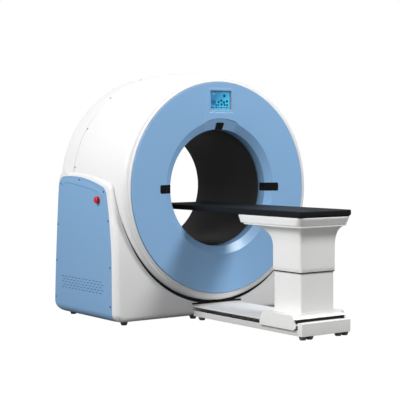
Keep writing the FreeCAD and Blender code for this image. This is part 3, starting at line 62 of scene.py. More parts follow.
RING_LOW, RING_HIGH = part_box("lip_ring")
FACE_LOW, FACE_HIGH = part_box("front_face")
REAR_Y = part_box("rear_cover")[1].y
LINER_LOW, LINER_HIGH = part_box("bore_liner")
SHELL_LOW, SHELL_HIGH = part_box("drum_shell")
BASE_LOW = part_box("base_shell")[0]
SLAB_LOW, SLAB_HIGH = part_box("tabletop")
TRAY_LOW, TRAY_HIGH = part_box("tray")
SLEEVE_LOW, SLEEVE_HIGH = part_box("upper_column")
COLUMN_LOW, COLUMN_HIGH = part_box("lower_column")
GLASS_LOW, GLASS_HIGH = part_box("display_glass")
BEZEL_LOW, BEZEL_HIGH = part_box("display_bezel")
COVER_LOW, COVER_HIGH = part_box("carriage_cover")
FACE_Y = FACE_LOW.y                                  # depth of the blue face's front
AXIS_Z = (RING_LOW.z + RING_HIGH.z) / 2
COLUMN_Y = (COLUMN_LOW.y + COLUMN_HIGH.y) / 2
RIGHT_ANGLE, FULL_TURN = math.pi / 2, 2 * math.pi

SEAM_GAP, SEAM_EASE = 0.0044, 0.0012                 # between the drum's covers, and their edges
RIM_GAP = 0.0018                                     # between the blue face and the lip ring
REAR_OPENING = 0.456                                 # radius where the rear cover's flare begins
SLEEVE_CORNER, TRAY_CORNER = 0.014, 0.042
# how far the upper column spreads at each side, at its near and far ends, and at its corners
FLARE_SIDE, FLARE_NEAR, FLARE_FAR, FLARE_CORNER = 0.056, 0.050, 0.231, 0.014


# ---- sizes and colours that a user may change ---------------------------------------------------

def length(name, text, default, top=3.0):
    return FloatProperty(name=name, description=text, default=default, min=0.0, max=top,
                         precision=4, unit="LENGTH")


def plain(name, text, default, low, high):
    return FloatProperty(name=name, description=text, default=default, min=low, max=high)


def power(name, text, default):
    return FloatProperty(name=name, description=text, default=default, min=0, max=20000,
                         subtype="POWER")


def colour(name, text, default):
    return FloatVectorProperty(name=name, description=text, default=default, size=3,
                               min=0.0, max=1.0, subtype="COLOR")


class GantrySizes(bpy.types.PropertyGroup):
    face_radius: length("Face radius", "Outer radius of the blue face",
                        (FACE_HIGH.x - FACE_LOW.x) / 2)
    bore_radius: length("Bore radius", "Inside radius of the bore", LINER_HIGH.x - 0.005)
    funnel_depth: length("Funnel depth", "How far the funnel sinks to the bore's edge", 0.030)
    lip_width: length("Lip width", "Width of the white ring round the face", 0.017)
    shoulder_radius: length("Shoulder radius", "Drum radius behind its front rounding", 0.752)
    shoulder_depth: length("Shoulder depth", "Depth of the front rounding behind the face", 0.046)
    drum_radius: length("Drum radius", "Drum radius at its rear edge", 0.770)
    drum_curve: length("Drum curve", "Radius of the drum's long swelling curve", 3.5, 20.0)
    seam_depth: length("Seam depth", "Depth of the seam between the drum's two covers",
                       SHELL_HIGH.y - FACE_Y)
    rear_round: length("Rear rounding", "Radius of the drum's rear edge", 0.060)
    shell_wall: length("Shell wall", "Thickness of the moulded covers", 0.005)


class TableSizes(bpy.types.PropertyGroup):
    slab_half_width: length("Tabletop half width", "Half the width of the tabletop", SLAB_HIGH.x)
    slab_corner: length("Tabletop corner", "Radius of the tabletop's corners seen from above",
                        0.026)
    slab_round: length("Tabletop edge", "Radius of the tabletop's long edges", 0.006)
    sleeve_half_width: length("Sleeve half width", "Half the width of the upper column", 0.139)
    sleeve_half_depth: length("Sleeve half depth", "Half the depth of the upper column", 0.1345)
    flare_start: length("Flare start", "Height where the upper column starts to spread", 0.526)
    flare_rim: length("Flare rim", "Height where the spread ends", 0.662)
    flare_power: plain("Flare fullness", "How square the flare's curve is", 2.4, 1.0, 6.0)
    sleeve_wall: length("Sleeve wall", "Thickness of the upper column", 0.004)


class FinishColours(bpy.types.PropertyGroup):
    white: colour("Cover white", "Moulded white covers", (0.84, 0.84, 0.845))
    paint: colour("Table white", "Painted white covers of the table", (0.930, 0.925, 0.912))
    blue: colour("Cover blue", "Moulded blue side panels", (0.232, 0.424, 0.672))
    # face: a lighter copy of the panels' blue; the extra lightness is painted light
    face: colour("Face blue", "The blue face of the gantry", (0.275, 0.500, 0.800))
    black: colour("Bore black", "The bore's liner", (0.046, 0.046, 0.047))
    tabletop: colour("Tabletop", "Carbon composite top", (0.007, 0.0082, 0.0098))
    stop_red: colour("Stop red", "Emergency stop heads", (0.62, 0.020, 0.022))
    screen_low: colour("Screen bright", "Lit part of the display", (0.055, 0.56, 0.86))
    screen_high: colour("Screen dark", "Unlit corner of the display", (0.030, 0.20, 0.42))


class StudioSettings(bpy.types.PropertyGroup):
    distance: length("Camera distance", "From the camera to the point it looks at", 7.612, 30.0)
    azimuth: plain("Camera azimuth", "Degrees from straight in front", -35.2395, -180, 180)
    elevation: plain("Camera elevation", "Degrees above the level", 2.3396, -89, 89)
    roll: plain("Camera roll", "Tilt in degrees about the view line", -0.2481, -10, 10)
    lens: plain("Lens", "Focal length on a 36 mm wide frame", 103.927, 10, 400)
    side_power: power("Side lamp", "Power of the lamp at the left", 318.0)
    front_power: power("Front lamp", "Power of the high lamp in front", 308.0)
    low_power: power("Low lamp", "Power of the low lamp at the front left", 52.0)
    rear_power: power("Rear lamp", "Power of the lamp behind", 66.0)
    right_power: power("Right lamp", "Power of the weak lamp at the right", 70.0)
    sky: plain("Studio fill", "Strength of the even white surround", 0.21, 0, 10)


# ---- surfaces worked out as whole arrays --------------------------------------------------------

def arc(start, end, radius, steps=12):
    """Points on the shorter arc from start to end: the centre lies on the chord's mid-normal, at
    the square root of radius squared less half the chord squared, and the angle runs evenly. A
    positive radius bulges to the right of the travel."""
    start, end = np.array(start, float), np.array(end, float)
    middle, run = (start + end) / 2, end - start
    normal = np.array([run[1], -run[0]]) / np.hypot(*run)
    drop = math.sqrt(max(radius ** 2 - run @ run / 4, 0.0)) * math.copysign(1, radius)
    centre = middle - normal * drop
    first, last = np.arctan2(*(start - centre)[::-1]), np.arctan2(*(end - centre)[::-1])
    sweep = (last - first + math.pi) % FULL_TURN - math.pi
    angle = first + sweep * np.linspace(0, 1, steps + 1)
    return centre + abs(radius) * np.stack([np.cos(angle), np.sin(angle)], 1)


def line(start, end, steps=1):
    """Evenly spaced points on a straight run."""
    share = np.linspace(0, 1, steps + 1)[:, None]
    return np.array(start, float) * (1 - share) + np.array(end, float) * share


def chain(*runs):
    """Runs of points joined end to end, without the points that two runs share."""
    points = np.concatenate(runs)
    return points[np.r_[True, np.hypot(*(points[1:] - points[:-1]).T) > 1e-7]]


def smoothed(path, rounds):
    """Each inner point moves, in rounds, to a quarter of its two neighbours and half of itself."""
    for _ in range(rounds):
        path[1:-1] = (path[:-2] + 2 * path[1:-1] + path[2:]) / 4
    way = np.gradient(path, axis=0)
    return path, way / np.hypot(*way.T)[:, None]


def sampled(where, at, path):
    """A path of two columns read between its points by straight lines."""
    return np.column_stack([np.interp(where, at, path[:, column]) for column in (0, 1)])


def rounded_plan(half, front, back, corner, corner_steps=6, side_steps=4):
    """A rectangle with quarter-circle corners, anticlockwise from above: each corner is its centre
    plus the radius times (cosine, sine) over a right angle, and straight runs join them."""
    quarter = np.linspace(0, RIGHT_ANGLE, corner_steps + 1)
    centres = [(half - corner, front + corner, -RIGHT_ANGLE), (half - corner, back - corner, 0),
               (corner - half, back - corner, RIGHT_ANGLE),
               (corner - half, front + corner, math.pi)]
    corners = [np.array([x, y]) + corner * np.stack([np.cos(a + quarter), np.sin(a + quarter)], 1)
               for x, y, a in centres]
    return np.concatenate([run for points, following in zip(corners, corners[1:] + corners[:1])
                           for run in (points, line(points[-1], following[0], side_steps)[1:-1])])


def level_plan(height, *plan):
    """A rounded rectangle laid level at a height."""
    plan = rounded_plan(*plan)
    return np.column_stack([plan, np.full(len(plan), height)])


def quads(rows, columns, close_rows=False, close_columns=False):
    """Corner numbers of the four-sided faces between the points of a grid."""
    row = np.arange(rows if close_rows else rows - 1)
    column = np.arange(columns if close_columns else columns - 1)
    row, column = (a.ravel() for a in np.meshgrid(row, column, indexing="ij"))
    next_row, next_column = (row + 1) % rows, (column + 1) % columns
    return np.stack([row * columns + column, row * columns + next_column,
                     next_row * columns + next_column, next_row * columns + column], 1)


def turned(profile, steps=192, centre=(0.0, AXIS_Z)):
    """A closed ring about a line along Y: the point at angle a is centre plus radius times (cosine
    a, sine a) across and up, at the profile's own depth. The profile is (radius, depth)."""
    angle = np.linspace(0, FULL_TURN, steps, endpoint=False)[:, None]
    radius, depth = profile[:, 0], profile[:, 1]
    points = np.stack([centre[0] + radius * np.cos(angle), depth + 0 * angle,
                       centre[1] + radius * np.sin(angle)], -1)
    return points.reshape(-1, 3), quads(steps, len(profile), True, True)


def stacked(sections, closed=True):
    """Outlines joined in order: point j of outline i is joined to point j of outline i + 1. Each
    outline is an array of 3-D points. The last joins the first where closed, and otherwise a flat
    face closes each end."""
    rings = np.stack(sections)
    rows, columns = rings.shape[:2]
    faces = [tuple(f) for f in quads(rows, columns, closed, True)]
    if not closed:
        faces += [tuple(range(columns))[::-1], tuple(range((rows - 1) * columns, rows * columns))]
    return rings.reshape(-1, 3), faces


def spun_button(profile, centre, axis, steps=32):
    """A turned piece about any axis: the profile is (radius, distance along the axis) from pole to
    pole, and its first and last points lie on the axis."""
    axis = np.array(axis, float) / np.linalg.norm(axis)
    side = np.cross(axis, [0.0, 0.0, 1.0] if abs(axis[2]) < 0.9 else [0.0, 1.0, 0.0])
    side /= np.linalg.norm(side)
    angle = np.linspace(0, FULL_TURN, steps, endpoint=False)[None, :, None]
    circle = np.cos(angle) * side + np.sin(angle) * np.cross(axis, side)
    ring = profile[1:-1, 0, None, None] * circle + profile[1:-1, 1, None, None] * axis
    points = np.concatenate([[profile[0, 1] * axis], ring.reshape(-1, 3), [profile[-1, 1] * axis]])
    rows = len(profile) - 2
    first, last = np.arange(steps) + 1, np.arange(steps) + 1 + (rows - 1) * steps
    faces = [tuple(f) for f in quads(rows, steps, False, True) + 1]
    faces += [(0, a, b) for a, b in zip(np.roll(first, -1), first)]
    faces += [(len(points) - 1, a, b) for a, b in zip(last, np.roll(last, -1))]
    return points + np.array(centre, float), faces


def together(shapes):
    """Several shapes as one list of points and faces."""
    points, faces, start = [], [], 0
    for shape_points, shape_faces in shapes:
        points.append(shape_points)
        faces += [tuple(int(i) + start for i in face) for face in shape_faces]
        start += len(shape_points)
    return np.concatenate(points), faces


def plate(front, back):
    """A closed plate between two grids of points: the front, the back turned over, and a strip of
    four-sided faces round their borders."""
    rows, columns = front.shape[:2]
    count = rows * columns
    number = np.arange(count).reshape(rows, columns)
    border = np.concatenate([number[0, :-1], number[:-1, -1], number[-1, :0:-1], number[:0:-1, 0]])
    following = np.roll(border, -1)
    faces = quads(rows, columns)
    rim = np.stack([following, border, border + count, following + count], 1)
    return (np.concatenate([front.reshape(-1, 3), back.reshape(-1, 3)]),
            [tuple(f) for f in np.concatenate([faces, faces[:, ::-1] + count, rim])])


def slab(low, high):
    """A box between two corners, as a plate whose two grids are its upper and lower ends."""
    x, y = np.meshgrid([low[0], high[0]], [low[1], high[1]], indexing="ij")
    return plate(*(np.stack([x, y, np.full((2, 2), level)], -1) for level in (high[2], low[2])))


def across(shape):
    """The same shape mirrored to the other side; its faces are turned over to point outwards."""
    points, faces = shape
    return points * [-1, 1, 1], [tuple(face)[::-1] for face in faces]


# ---- pieces -------------------------------------------------------------------------------------

def finished(mesh, name, finish, slot, body, replaces=(), bevel=0.0, segments=3, wall=0.0,
             smooth=32, bevel_angle=30):
    """Links a mesh as a piece: material, shading, modifiers, body and the nodes it stands for."""
    mesh.name = name
    piece = bpy.data.objects.new(name, mesh)
    bpy.context.scene.collection.objects.link(piece)
    mesh.materials.append(paint(finish))
    mesh.polygons.foreach_set("use_smooth", np.ones(len(mesh.polygons), bool))
    mesh.set_sharp_from_angle(angle=math.radians(smooth))
    if wall:
        thicken = piece.modifiers.new("Wall", "SOLIDIFY")
        thicken.thickness, thicken.offset = wall, -1
    if bevel:
        rounding = piece.modifiers.new("Edges", "BEVEL")
        rounding.width, rounding.segments = bevel, segments
        rounding.limit_method, rounding.angle_limit = "ANGLE", math.radians(bevel_angle)
        rounding.harden_normals = rounding.use_clamp_overlap = True
    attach(piece, body)
    slot or finish
    if replaces:
        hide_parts(*replaces)


def corner_numbers(mesh):
    """The corners of a mesh's triangles, three to a row."""
    mesh.calc_loop_triangles()
    corner = np.zeros(len(mesh.loop_triangles) * 3, np.int32)
    mesh.loop_triangles.foreach_get("vertices", corner)
    return corner.reshape(-1, 3)


def mesh_from(points, faces, solid=True):
    """A mesh from arrays. A closed one is turned over where its signed volume, a sixth of the sum
    of the faces' corner products, comes out negative."""
    mesh = bpy.data.meshes.new("piece")
    mesh.from_pydata(np.asarray(points, float).tolist(), [], [tuple(map(int, f)) for f in faces])
    if solid:
        a, b, c = np.asarray(points)[corner_numbers(mesh)].transpose(1, 0, 2)
        if np.einsum("ij,ij->i", a, np.cross(b, c)).sum() < 0:
            mesh.flip_normals()
    mesh.validate()
    mesh.update()
    return mesh


def add(name, shape, finish, slot=None, body="gantry", solid=True, **options):
    """A piece from points and faces. The slot argument is not used."""
    finished(mesh_from(*shape, solid=solid), name, finish, slot, body, **options)


def add_pair(name, shape, *details, **options):
    """A piece on the left side and its mirror image on the right."""
    for side, half in (("left", shape), ("right", across(shape))):
        add(f"{name}_{side}", half, *details, **options)


def welded(node):
    """A new mesh from a node's loose triangles: equal corners become one, flat neighbours merge."""
    source = frame["nodes"][node].data
    points = np.zeros(len(source.vertices) * 3)
    source.vertices.foreach_get("co", points)
    keys, number = np.unique(np.round(points.reshape(-1, 3), 6), axis=0, return_inverse=True)
    faces = number.ravel()[corner_numbers(source)]
    whole = (faces != np.roll(faces, 1, 1)).all(1)
    mesh = bpy.data.meshes.new(node)
    mesh.from_pydata(keys.tolist(), [], faces[whole].tolist())
    shape = bmesh.new()
    shape.from_mesh(mesh)
    bmesh.ops.dissolve_limit(shape, angle_limit=math.radians(0.4), verts=shape.verts,
                             edges=shape.edges)
    shape.to_mesh(mesh)
    shape.free()
    mesh.update()
    return mesh


def eased(node, name, finish, bevel, slot=None, body="gantry", **options):
    """A node's own solid with its edges eased, shown in the node's place."""
    finished(welded(node), name, finish, slot, body, replaces=(node,), bevel=bevel, **options)


def coated(node, finish):
    """Sets the finish on a node's own material slots and leaves its mesh alone."""
    for spot in frame["nodes"][node].material_slots:
        spot.link = "OBJECT"
        spot.material = paint(finish)


# ---- shader groups ------------------------------------------------------------------------------

class Graph:
    """Adds nodes to one tree, in rows of eight, and feeds their inputs. A value is another node's
    output or a plain number, vector or colour."""

    def __init__(self, tree):
        self.tree = tree

    def feed(self, value, socket):
        """Links an output to a socket, or sets a plain value on it."""
        if isinstance(value, bpy.types.NodeSocket):
            self.tree.links.new(value, socket)
        else:
            socket.default_value = value

    def put(self, kind, values=(), **settings):
        """A node: settings are its own attributes, and values feed its inputs by name or number."""
        count = len(self.tree.nodes)
        node = self.tree.nodes.new(f"ShaderNode{kind}")
        node.location = (200 * (count % 8) - 800, 300 - 250 * (count // 8))
        for name, value in settings.items():
            setattr(node, name, value)
        for label, value in dict(values).items():
            self.feed(value, node.inputs[label])
        return node

    def place(self):
        """The object's own coordinates."""
        return self.put("TexCoord").outputs["Object"]

    def math(self, operation, *values, clamp=False):
        """The result of one sum; clamp keeps it from 0 to 1."""
        node = self.put("Math", enumerate(values), operation=operation, use_clamp=clamp)
        return node.outputs[0]

    def mix(self, share, first, second, mode="MIX"):
        """A mix of two colours; the numbers are the node's factor and colour inputs."""
        node = self.put("Mix", {0: share, 6: first, 7: second}, data_type="RGBA", blend_type=mode)
        return node.outputs[2]

    def noise(self, scale, detail, place):
        """A cloudy pattern from 0 to 1; the scale is its patches to the metre."""
        values = {"Scale": scale, "Detail": detail, "Vector": place}
        return self.put("TexNoise", values).outputs["Fac"]

    def swung(self, base, pattern, spread, clamp=False):
        """A roughness that swings about its base with a pattern."""
        swing = self.math("MULTIPLY", self.math("SUBTRACT", pattern, 0.5), spread)
        return self.math("ADD", base, swing, clamp=clamp)

    def choose(self, share, first, second):
        """The mix of two input surfaces by a share."""
        node = self.put("MixShader", {0: share, 1: first.outputs[0], 2: second.outputs[0]})
        return node.outputs[0]


def moulded_skin(graph, value, place):
    """Moulded or sprayed surface: faint mottling, orange-peel grain, and dust near the floor."""
    mottle = graph.noise(value["Mottle Scale"], 4.0, place)
    patch = graph.math("MULTIPLY", mottle, 0.30, clamp=True)
    tint = graph.mix(patch, value["Color"], value["Shade"])
    height = graph.put("SeparateXYZ", {0: place}).outputs["Z"]
    above = graph.math("DIVIDE", height, value["Dust Height"])
    film = graph.math("SUBTRACT", 1.0, above, clamp=True)
    speck = graph.math("MULTIPLY", graph.noise(60.0, 5.0, place), 0.45)
    dust = graph.math("MULTIPLY", film, speck, clamp=True)
    base = graph.swung(value["Roughness"], mottle, value["Spread"])
    rough = graph.math("ADD", base, graph.math("MULTIPLY", dust, 0.3), clamp=True)
    grain = graph.noise(value["Grain Scale"], 2.0, place)
    return graph.mix(dust, tint, value["Dust"]), rough, grain


def machined_grain(graph, value, place):
    """Drawn or turned metal: streaks from noise stretched along one direction, and fine pits."""
    drawn = graph.put("VectorMath", {0: place, 1: value["Stretch"]}, operation="MULTIPLY")
    streak = graph.noise(value["Scale"], 3.0, drawn.outputs[0])
    share = graph.math("MULTIPLY", streak, graph.noise(9.0, 3.0, place), clamp=True)
    rough = graph.swung(value["Roughness"], streak, value["Spread"], clamp=True)
    return graph.mix(share, value["Color"], value["Streak"]), rough, streak


def carbon_twill(graph, value, place):
    """Woven carbon: two crossed sine ribs, swapped by a diagonal check, as in a 2 by 2 twill."""
    split = graph.put("SeparateXYZ", {0: place}).outputs
    ways = [graph.math("DIVIDE", split[axis], value["Pitch"]) for axis in "XY"]
    weft, warp = (graph.math("ABSOLUTE", graph.math("SINE", graph.math("MULTIPLY", way, math.pi)))
                  for way in ways)
    diagonal = graph.math("ADD", *(graph.math("FLOOR", way) for way in ways))
    turn = graph.math("LESS_THAN", graph.math("FLOORED_MODULO", diagonal, 4.0), 1.5)
    rib = graph.put("Mix", {0: turn, 2: weft, 3: warp}).outputs[0]
    share = graph.math("MULTIPLY", rib, graph.noise(5.0, 3.0, place), clamp=True)
    rough = graph.math("ADD", value["Roughness"], graph.math("MULTIPLY", rib, -0.08), clamp=True)
    return graph.mix(share, value["Color"], value["Fibre"]), rough, rib


EFFECTS = {
    "Moulded skin": (moulded_skin, {
        "Color": (0.8, 0.8, 0.8, 1), "Shade": (0.7, 0.7, 0.7, 1), "Dust": (0.5, 0.48, 0.45, 1),
        "Mottle Scale": 2.0, "Grain Scale": 700.0, "Roughness": 0.35, "Spread": 0.08,
        "Dust Height": 0.10}),
    "Machined grain": (machined_grain, {
        "Color": (0.6, 0.6, 0.6, 1), "Streak": (0.4, 0.4, 0.4, 1), "Stretch": (1.0, 1.0, 1.0),
        "Scale": 300.0, "Roughness": 0.35, "Spread": 0.15}),
    "Carbon twill": (carbon_twill, {
        "Color": (0.02, 0.02, 0.02, 1), "Fibre": (0.05, 0.05, 0.06, 1), "Pitch": 0.004,
        "Roughness": 0.5}),
}


def effect(name):
    """A shader group, made when it is first asked for: named inputs with their defaults, and the
    colour, roughness and height that its own function works out from them."""
    if name in bpy.data.node_groups:
        return bpy.data.node_groups[name]
    build, inputs = EFFECTS[name]
    tree = bpy.data.node_groups.new(name, "ShaderNodeTree")
    for label, default in inputs.items():
        kind = {4: "Color", 3: "Vector", 1: "Float"}[np.size(default)]
        socket = tree.interface.new_socket(label, in_out="INPUT", socket_type=f"NodeSocket{kind}")
        socket.default_value = default
    for label, kind in (("Color", "Color"), ("Roughness", "Float"), ("Height", "Float")):
        tree.interface.new_socket(label, in_out="OUTPUT", socket_type=f"NodeSocket{kind}")
    source, sink = tree.nodes.new("NodeGroupInput"), tree.nodes.new("NodeGroupOutput")
    graph = Graph(tree)
    for value, socket in zip(build(graph, source.outputs, graph.place()), sink.inputs):
        graph.feed(value, socket)
    return tree


# ---- finishes -----------------------------------------------------------------------------------

def rgba(color):
    """A colour of three numbers with full cover."""
    return (*tuple(color)[:3], 1.0)


def shader(name, **settings):
    """A new material, its graph and its shader; settings go on the shader's own sockets."""
    material = bpy.data.materials.new(name)
    material.use_nodes = True
    surface = material.node_tree.nodes["Principled BSDF"]
    for label, value in settings.items():
        surface.inputs[label.replace("_", " ")].default_value = value
    return material, Graph(material.node_tree), surface


def dressed(name, group, values, bump, distance, **settings):
    """A material with an effect, and this finish's own values for it, in front of the shader."""
    material, graph, surface = shader(name, **settings)
    node = graph.put("Group", node_tree=effect(group))
    for label, value in values.items():
        node.inputs[label].default_value = value
    relief = graph.put("Bump", {"Strength": bump, "Distance": distance,
                                "Height": node.outputs["Height"]})
    for value, label in ((node.outputs["Color"], "Base Color"),
                         (node.outputs["Roughness"], "Roughness"),
                         (relief.outputs["Normal"], "Normal")):
        graph.feed(value, surface.inputs[label])
    return material


def moulded(name, color, shade, roughness, coat=0.0, bump=0.03, grain=700.0, mottle=2.0,
            spread=0.08, dust=0.08, specular=0.5):
    """A moulded or sprayed finish."""
    return dressed(name, "Moulded skin", {
        "Color": rgba(color), "Shade": rgba(shade), "Mottle Scale": mottle, "Grain Scale": grain,
        "Roughness": roughness, "Spread": spread, "Dust Height": dust}, bump, 0.001,
        Coat_Weight=coat, Coat_Roughness=0.12, Specular_IOR_Level=specular)


def machined(name, color, streak, stretch, roughness, scale=300.0, bump=0.06):
    """A metal with drawn or turned streaks."""
    return dressed(name, "Machined grain", {
        "Color": rgba(color), "Streak": rgba(streak), "Stretch": stretch, "Scale": scale,
        "Roughness": roughness}, bump, 0.0004, Metallic=1.0)


def carbon_top(name, colours):
    """Matt woven carbon whose ribs are a little paler than its ground."""
    top = colours.tabletop
    return dressed(name, "Carbon twill", {
        "Color": rgba(top), "Fibre": rgba([c * 1.9 for c in top]), "Pitch": 0.0035,
        "Roughness": 0.60}, 0.04, 0.0003, Specular_IOR_Level=0.16)


def smoked_window(name, colours):
    """Dark polished strip with faint wipe marks in its gloss."""
    return dressed(name, "Machined grain", {
        "Color": (0.006, 0.006, 0.007, 1), "Streak": (0.014, 0.014, 0.016, 1),
        "Stretch": (1.0, 1.0, 0.15), "Scale": 60.0, "Roughness": 0.22, "Spread": 0.10},
        0.01, 0.0002, Coat_Weight=0.10, Coat_Roughness=0.08, Specular_IOR_Level=0.22)


def lit_screen(name, colours):
    """Lit display: light from a dark upper corner to a bright lower one, over fine rows."""
    material, graph, surface = shader(name, Base_Color=(0.01, 0.03, 0.05, 1), Roughness=0.12,
                                      Coat_Weight=0.6, Coat_Roughness=0.03, Emission_Strength=1.0)
    centre = (GLASS_LOW + GLASS_HIGH) / 2
    place = graph.put("Mapping", {"Location": -centre, "Vector": graph.place()}).outputs[0]
    split = graph.put("SeparateXYZ", {0: place}).outputs
    slope = graph.math("SUBTRACT", graph.math("MULTIPLY", split["X"], 6.5),
                       graph.math("MULTIPLY", split["Z"], 8.0))
    share = graph.math("ADD", slope, graph.noise(22.0, 3.0, place), clamp=True)
    light = graph.mix(share, rgba(colours.screen_high), rgba(colours.screen_low))
    rows = graph.put("TexWave", {"Scale": 120.0, "Vector": place}, bands_direction="Z")
    fine = graph.math("MULTIPLY_ADD", rows.outputs["Fac"], 0.10, 0.90)
    grey = graph.put("CombineColor", {0: fine, 1: fine, 2: fine}).outputs[0]
    graph.feed(graph.mix(1.0, light, grey, "MULTIPLY"), surface.inputs["Emission Color"])
    return material


def icon_ink(color, strength):
    """A recipe for the ink of the display's icons, faintly lit and a little uneven."""
    def recipe(name, colours):
        material, graph, surface = shader(name, Roughness=0.3, Emission_Strength=strength)
        cloud = graph.noise(300.0, 2.0, graph.place())
        ink = graph.mix(cloud, rgba([c * 0.8 for c in color]), rgba(color))
        for label in ("Base Color", "Emission Color"):
            graph.feed(ink, surface.inputs[label])
        return material
    return recipe


SATIN = {"coat": 0.05}
SPRAYED = {"bump": 0.06, "grain": 1100.0}
SOFT = {"bump": 0.25, "grain": 1400.0, "mottle": 25.0, "spread": 0.2, "specular": 0.3}

# each moulded or sprayed finish: its colour, or the name of the property that holds it, then the
# colour of its mottling or that colour's share of the first, its roughness and other values
MOULDED = {
    "white_cover": ("white", 0.965, 0.48, SATIN),
    # the tray's finish: a lighter copy of the cover white, as painted light on its down-turned
    # sides
    "tray_white": ((0.975, 0.975, 0.970), (0.955, 0.955, 0.950), 0.48, SATIN),
    "white_paint": ("paint", 0.975, 0.42, SATIN | SPRAYED),
    "rail_white": ((0.744, 0.740, 0.7296), 0.975, 0.46, SPRAYED),
    "blue_cover": ("blue", 0.94, 0.38, {"coat": 0.10}),
    # the face's finish: the panels' blue made lighter, as painted light
    "face_blue": ("face", 0.95, 0.38, {"coat": 0.10}),
    # the display reveal's finish: the blue cover darkened to grey, as painted shade in the recess
    "reveal_grey": ((0.26, 0.33, 0.41), (0.22, 0.29, 0.37), 0.45, {"bump": 0.08}),
    "bore_black": ("black", 0.7, 0.50, {"bump": 0.08, "grain": 900.0, "spread": 0.12}),
    "rubber": ((0.022, 0.022, 0.023), 0.6, 0.78, SOFT),
    # the vent gauze's finish: the panels' blue in painted shade, for the dark inside of the slots
    "gauze": ((0.125, 0.195, 0.300), 0.6, 0.78, SOFT),
    # black of real seals and wipers, and also of sheets that stand in for shade (painted shade)
    "seal_black": ((0.012, 0.012, 0.013), 0.6, 0.78, SOFT),
    "red_plastic": ("stop_red", 0.8, 0.25,
                    {"coat": 0.5, "bump": 0.01, "mottle": 40.0, "dust": 0.01}),
    "grey_plastic": ((0.27, 0.28, 0.30), (0.22, 0.23, 0.25), 0.55, {"bump": 0.12, "grain": 1300.0}),
    "nylon": ((0.016, 0.016, 0.018), (0.010, 0.010, 0.011), 0.45, {"bump": 0.05, "mottle": 30.0}),
    "grey_paint": ((0.17, 0.19, 0.215), (0.14, 0.155, 0.18), 0.48,
                   {"bump": 0.15, "grain": 450.0, "mottle": 6.0}),
    "iron": ((0.055, 0.056, 0.060), (0.035, 0.036, 0.040), 0.62,
             {"bump": 0.5, "grain": 260.0, "mottle": 18.0, "spread": 0.2}),
}

# each metal: colour, streaks' colour, stretch of the streaks, roughness and other values
METALS = {
    "steel": ((0.58, 0.59, 0.61), (0.34, 0.35, 0.37), (1, 0.05, 1), 0.32, {}),
    # near-black steel of the screws; on the travel rails it is painted shade for the dark slot
    "screw_steel": ((0.022, 0.024, 0.030), (0.01, 0.01, 0.013), (1, 1, 1), 0.5, {}),
    "aluminium": ((0.74, 0.75, 0.77), (0.55, 0.56, 0.58), (1, 0.08, 1), 0.38, {"scale": 220.0}),
    "copper": ((0.70, 0.36, 0.20), (0.42, 0.18, 0.09), (1, 0.03, 1), 0.34, {"scale": 420.0}),
    "magnet": ((0.66, 0.67, 0.66), (0.45, 0.46, 0.46), (1, 1, 0.1), 0.22,
               {"scale": 160.0, "bump": 0.02}),
}

RECIPES = {"window_black": smoked_window, "screen": lit_screen, "tabletop_black": carbon_top,
           "icon_dark": icon_ink((0.001, 0.040, 0.130), 0.25),
           "icon_pale": icon_ink((0.22, 0.48, 0.62), 0.5)}


def paint(name):
    """A finish by its name, made when it is first asked for."""
    title, colours = f"{name}_finish", bpy.context.scene.scanner_colours
    if title in bpy.data.materials:
        return bpy.data.materials[title]
    if name in METALS:
        *values, options = METALS[name]
        return machined(title, *values, **options)
    if name in MOULDED:
        color, shade, roughness, options = MOULDED[name]
        color = getattr(colours, color) if isinstance(color, str) else color
        shade = [c * shade for c in color] if isinstance(shade, float) else shade
        return moulded(title, color, shade, roughness, **options)
    return RECIPES[name](title, colours)


# ---- gantry covers ------------------------------------------------------------------------------

def drum_outline(sizes, from_seam):
    """The drum's outer line as (radius, depth): front rounding, long swelling curve, then the rear
    rounding. from_seam picks the part behind the seam."""
    front = (sizes.shoulder_radius, FACE_Y + sizes.shoulder_depth)
    rear = (sizes.drum_radius, REAR_Y - sizes.rear_round)
    barrel = arc(front, rear, sizes.drum_curve, 48)
    seam = FACE_Y + sizes.seam_depth
    if not from_seam:
        lip = (sizes.face_radius + sizes.lip_width + 0.002, SHELL_LOW.y)
        return chain([(sizes.face_radius - 0.008, SHELL_LOW.y)], arc(lip, front, 0.034, 12),
                     barrel[barrel[:, 1] < seam])
    end = arc(rear, (sizes.drum_radius - sizes.rear_round, REAR_Y), sizes.rear_round, 14)
    return chain(barrel[barrel[:, 1] > seam], end)


def seam_edge(outline, depth, toward):
    """Where a cover ends at the seam: the skin turns in over a small quarter circle."""
    radius = np.interp(depth, outline[:, 1], outline[:, 0])
    turn = np.linspace(0, RIGHT_ANGLE, 5)[1:]
    return np.column_stack([radius - SEAM_EASE * (1 - np.cos(turn)),
                            depth - toward * SEAM_EASE * (1 - np.sin(turn))])


def walled(outline, wall):
    """A closed section: the outline, and the same line moved in along its own normals."""
    step = np.gradient(outline, axis=0)
    normal = np.stack([step[:, 1], -step[:, 0]], 1) / np.hypot(*step.T)[:, None]
    return np.concatenate([outline, (outline - normal * wall)[::-1]])


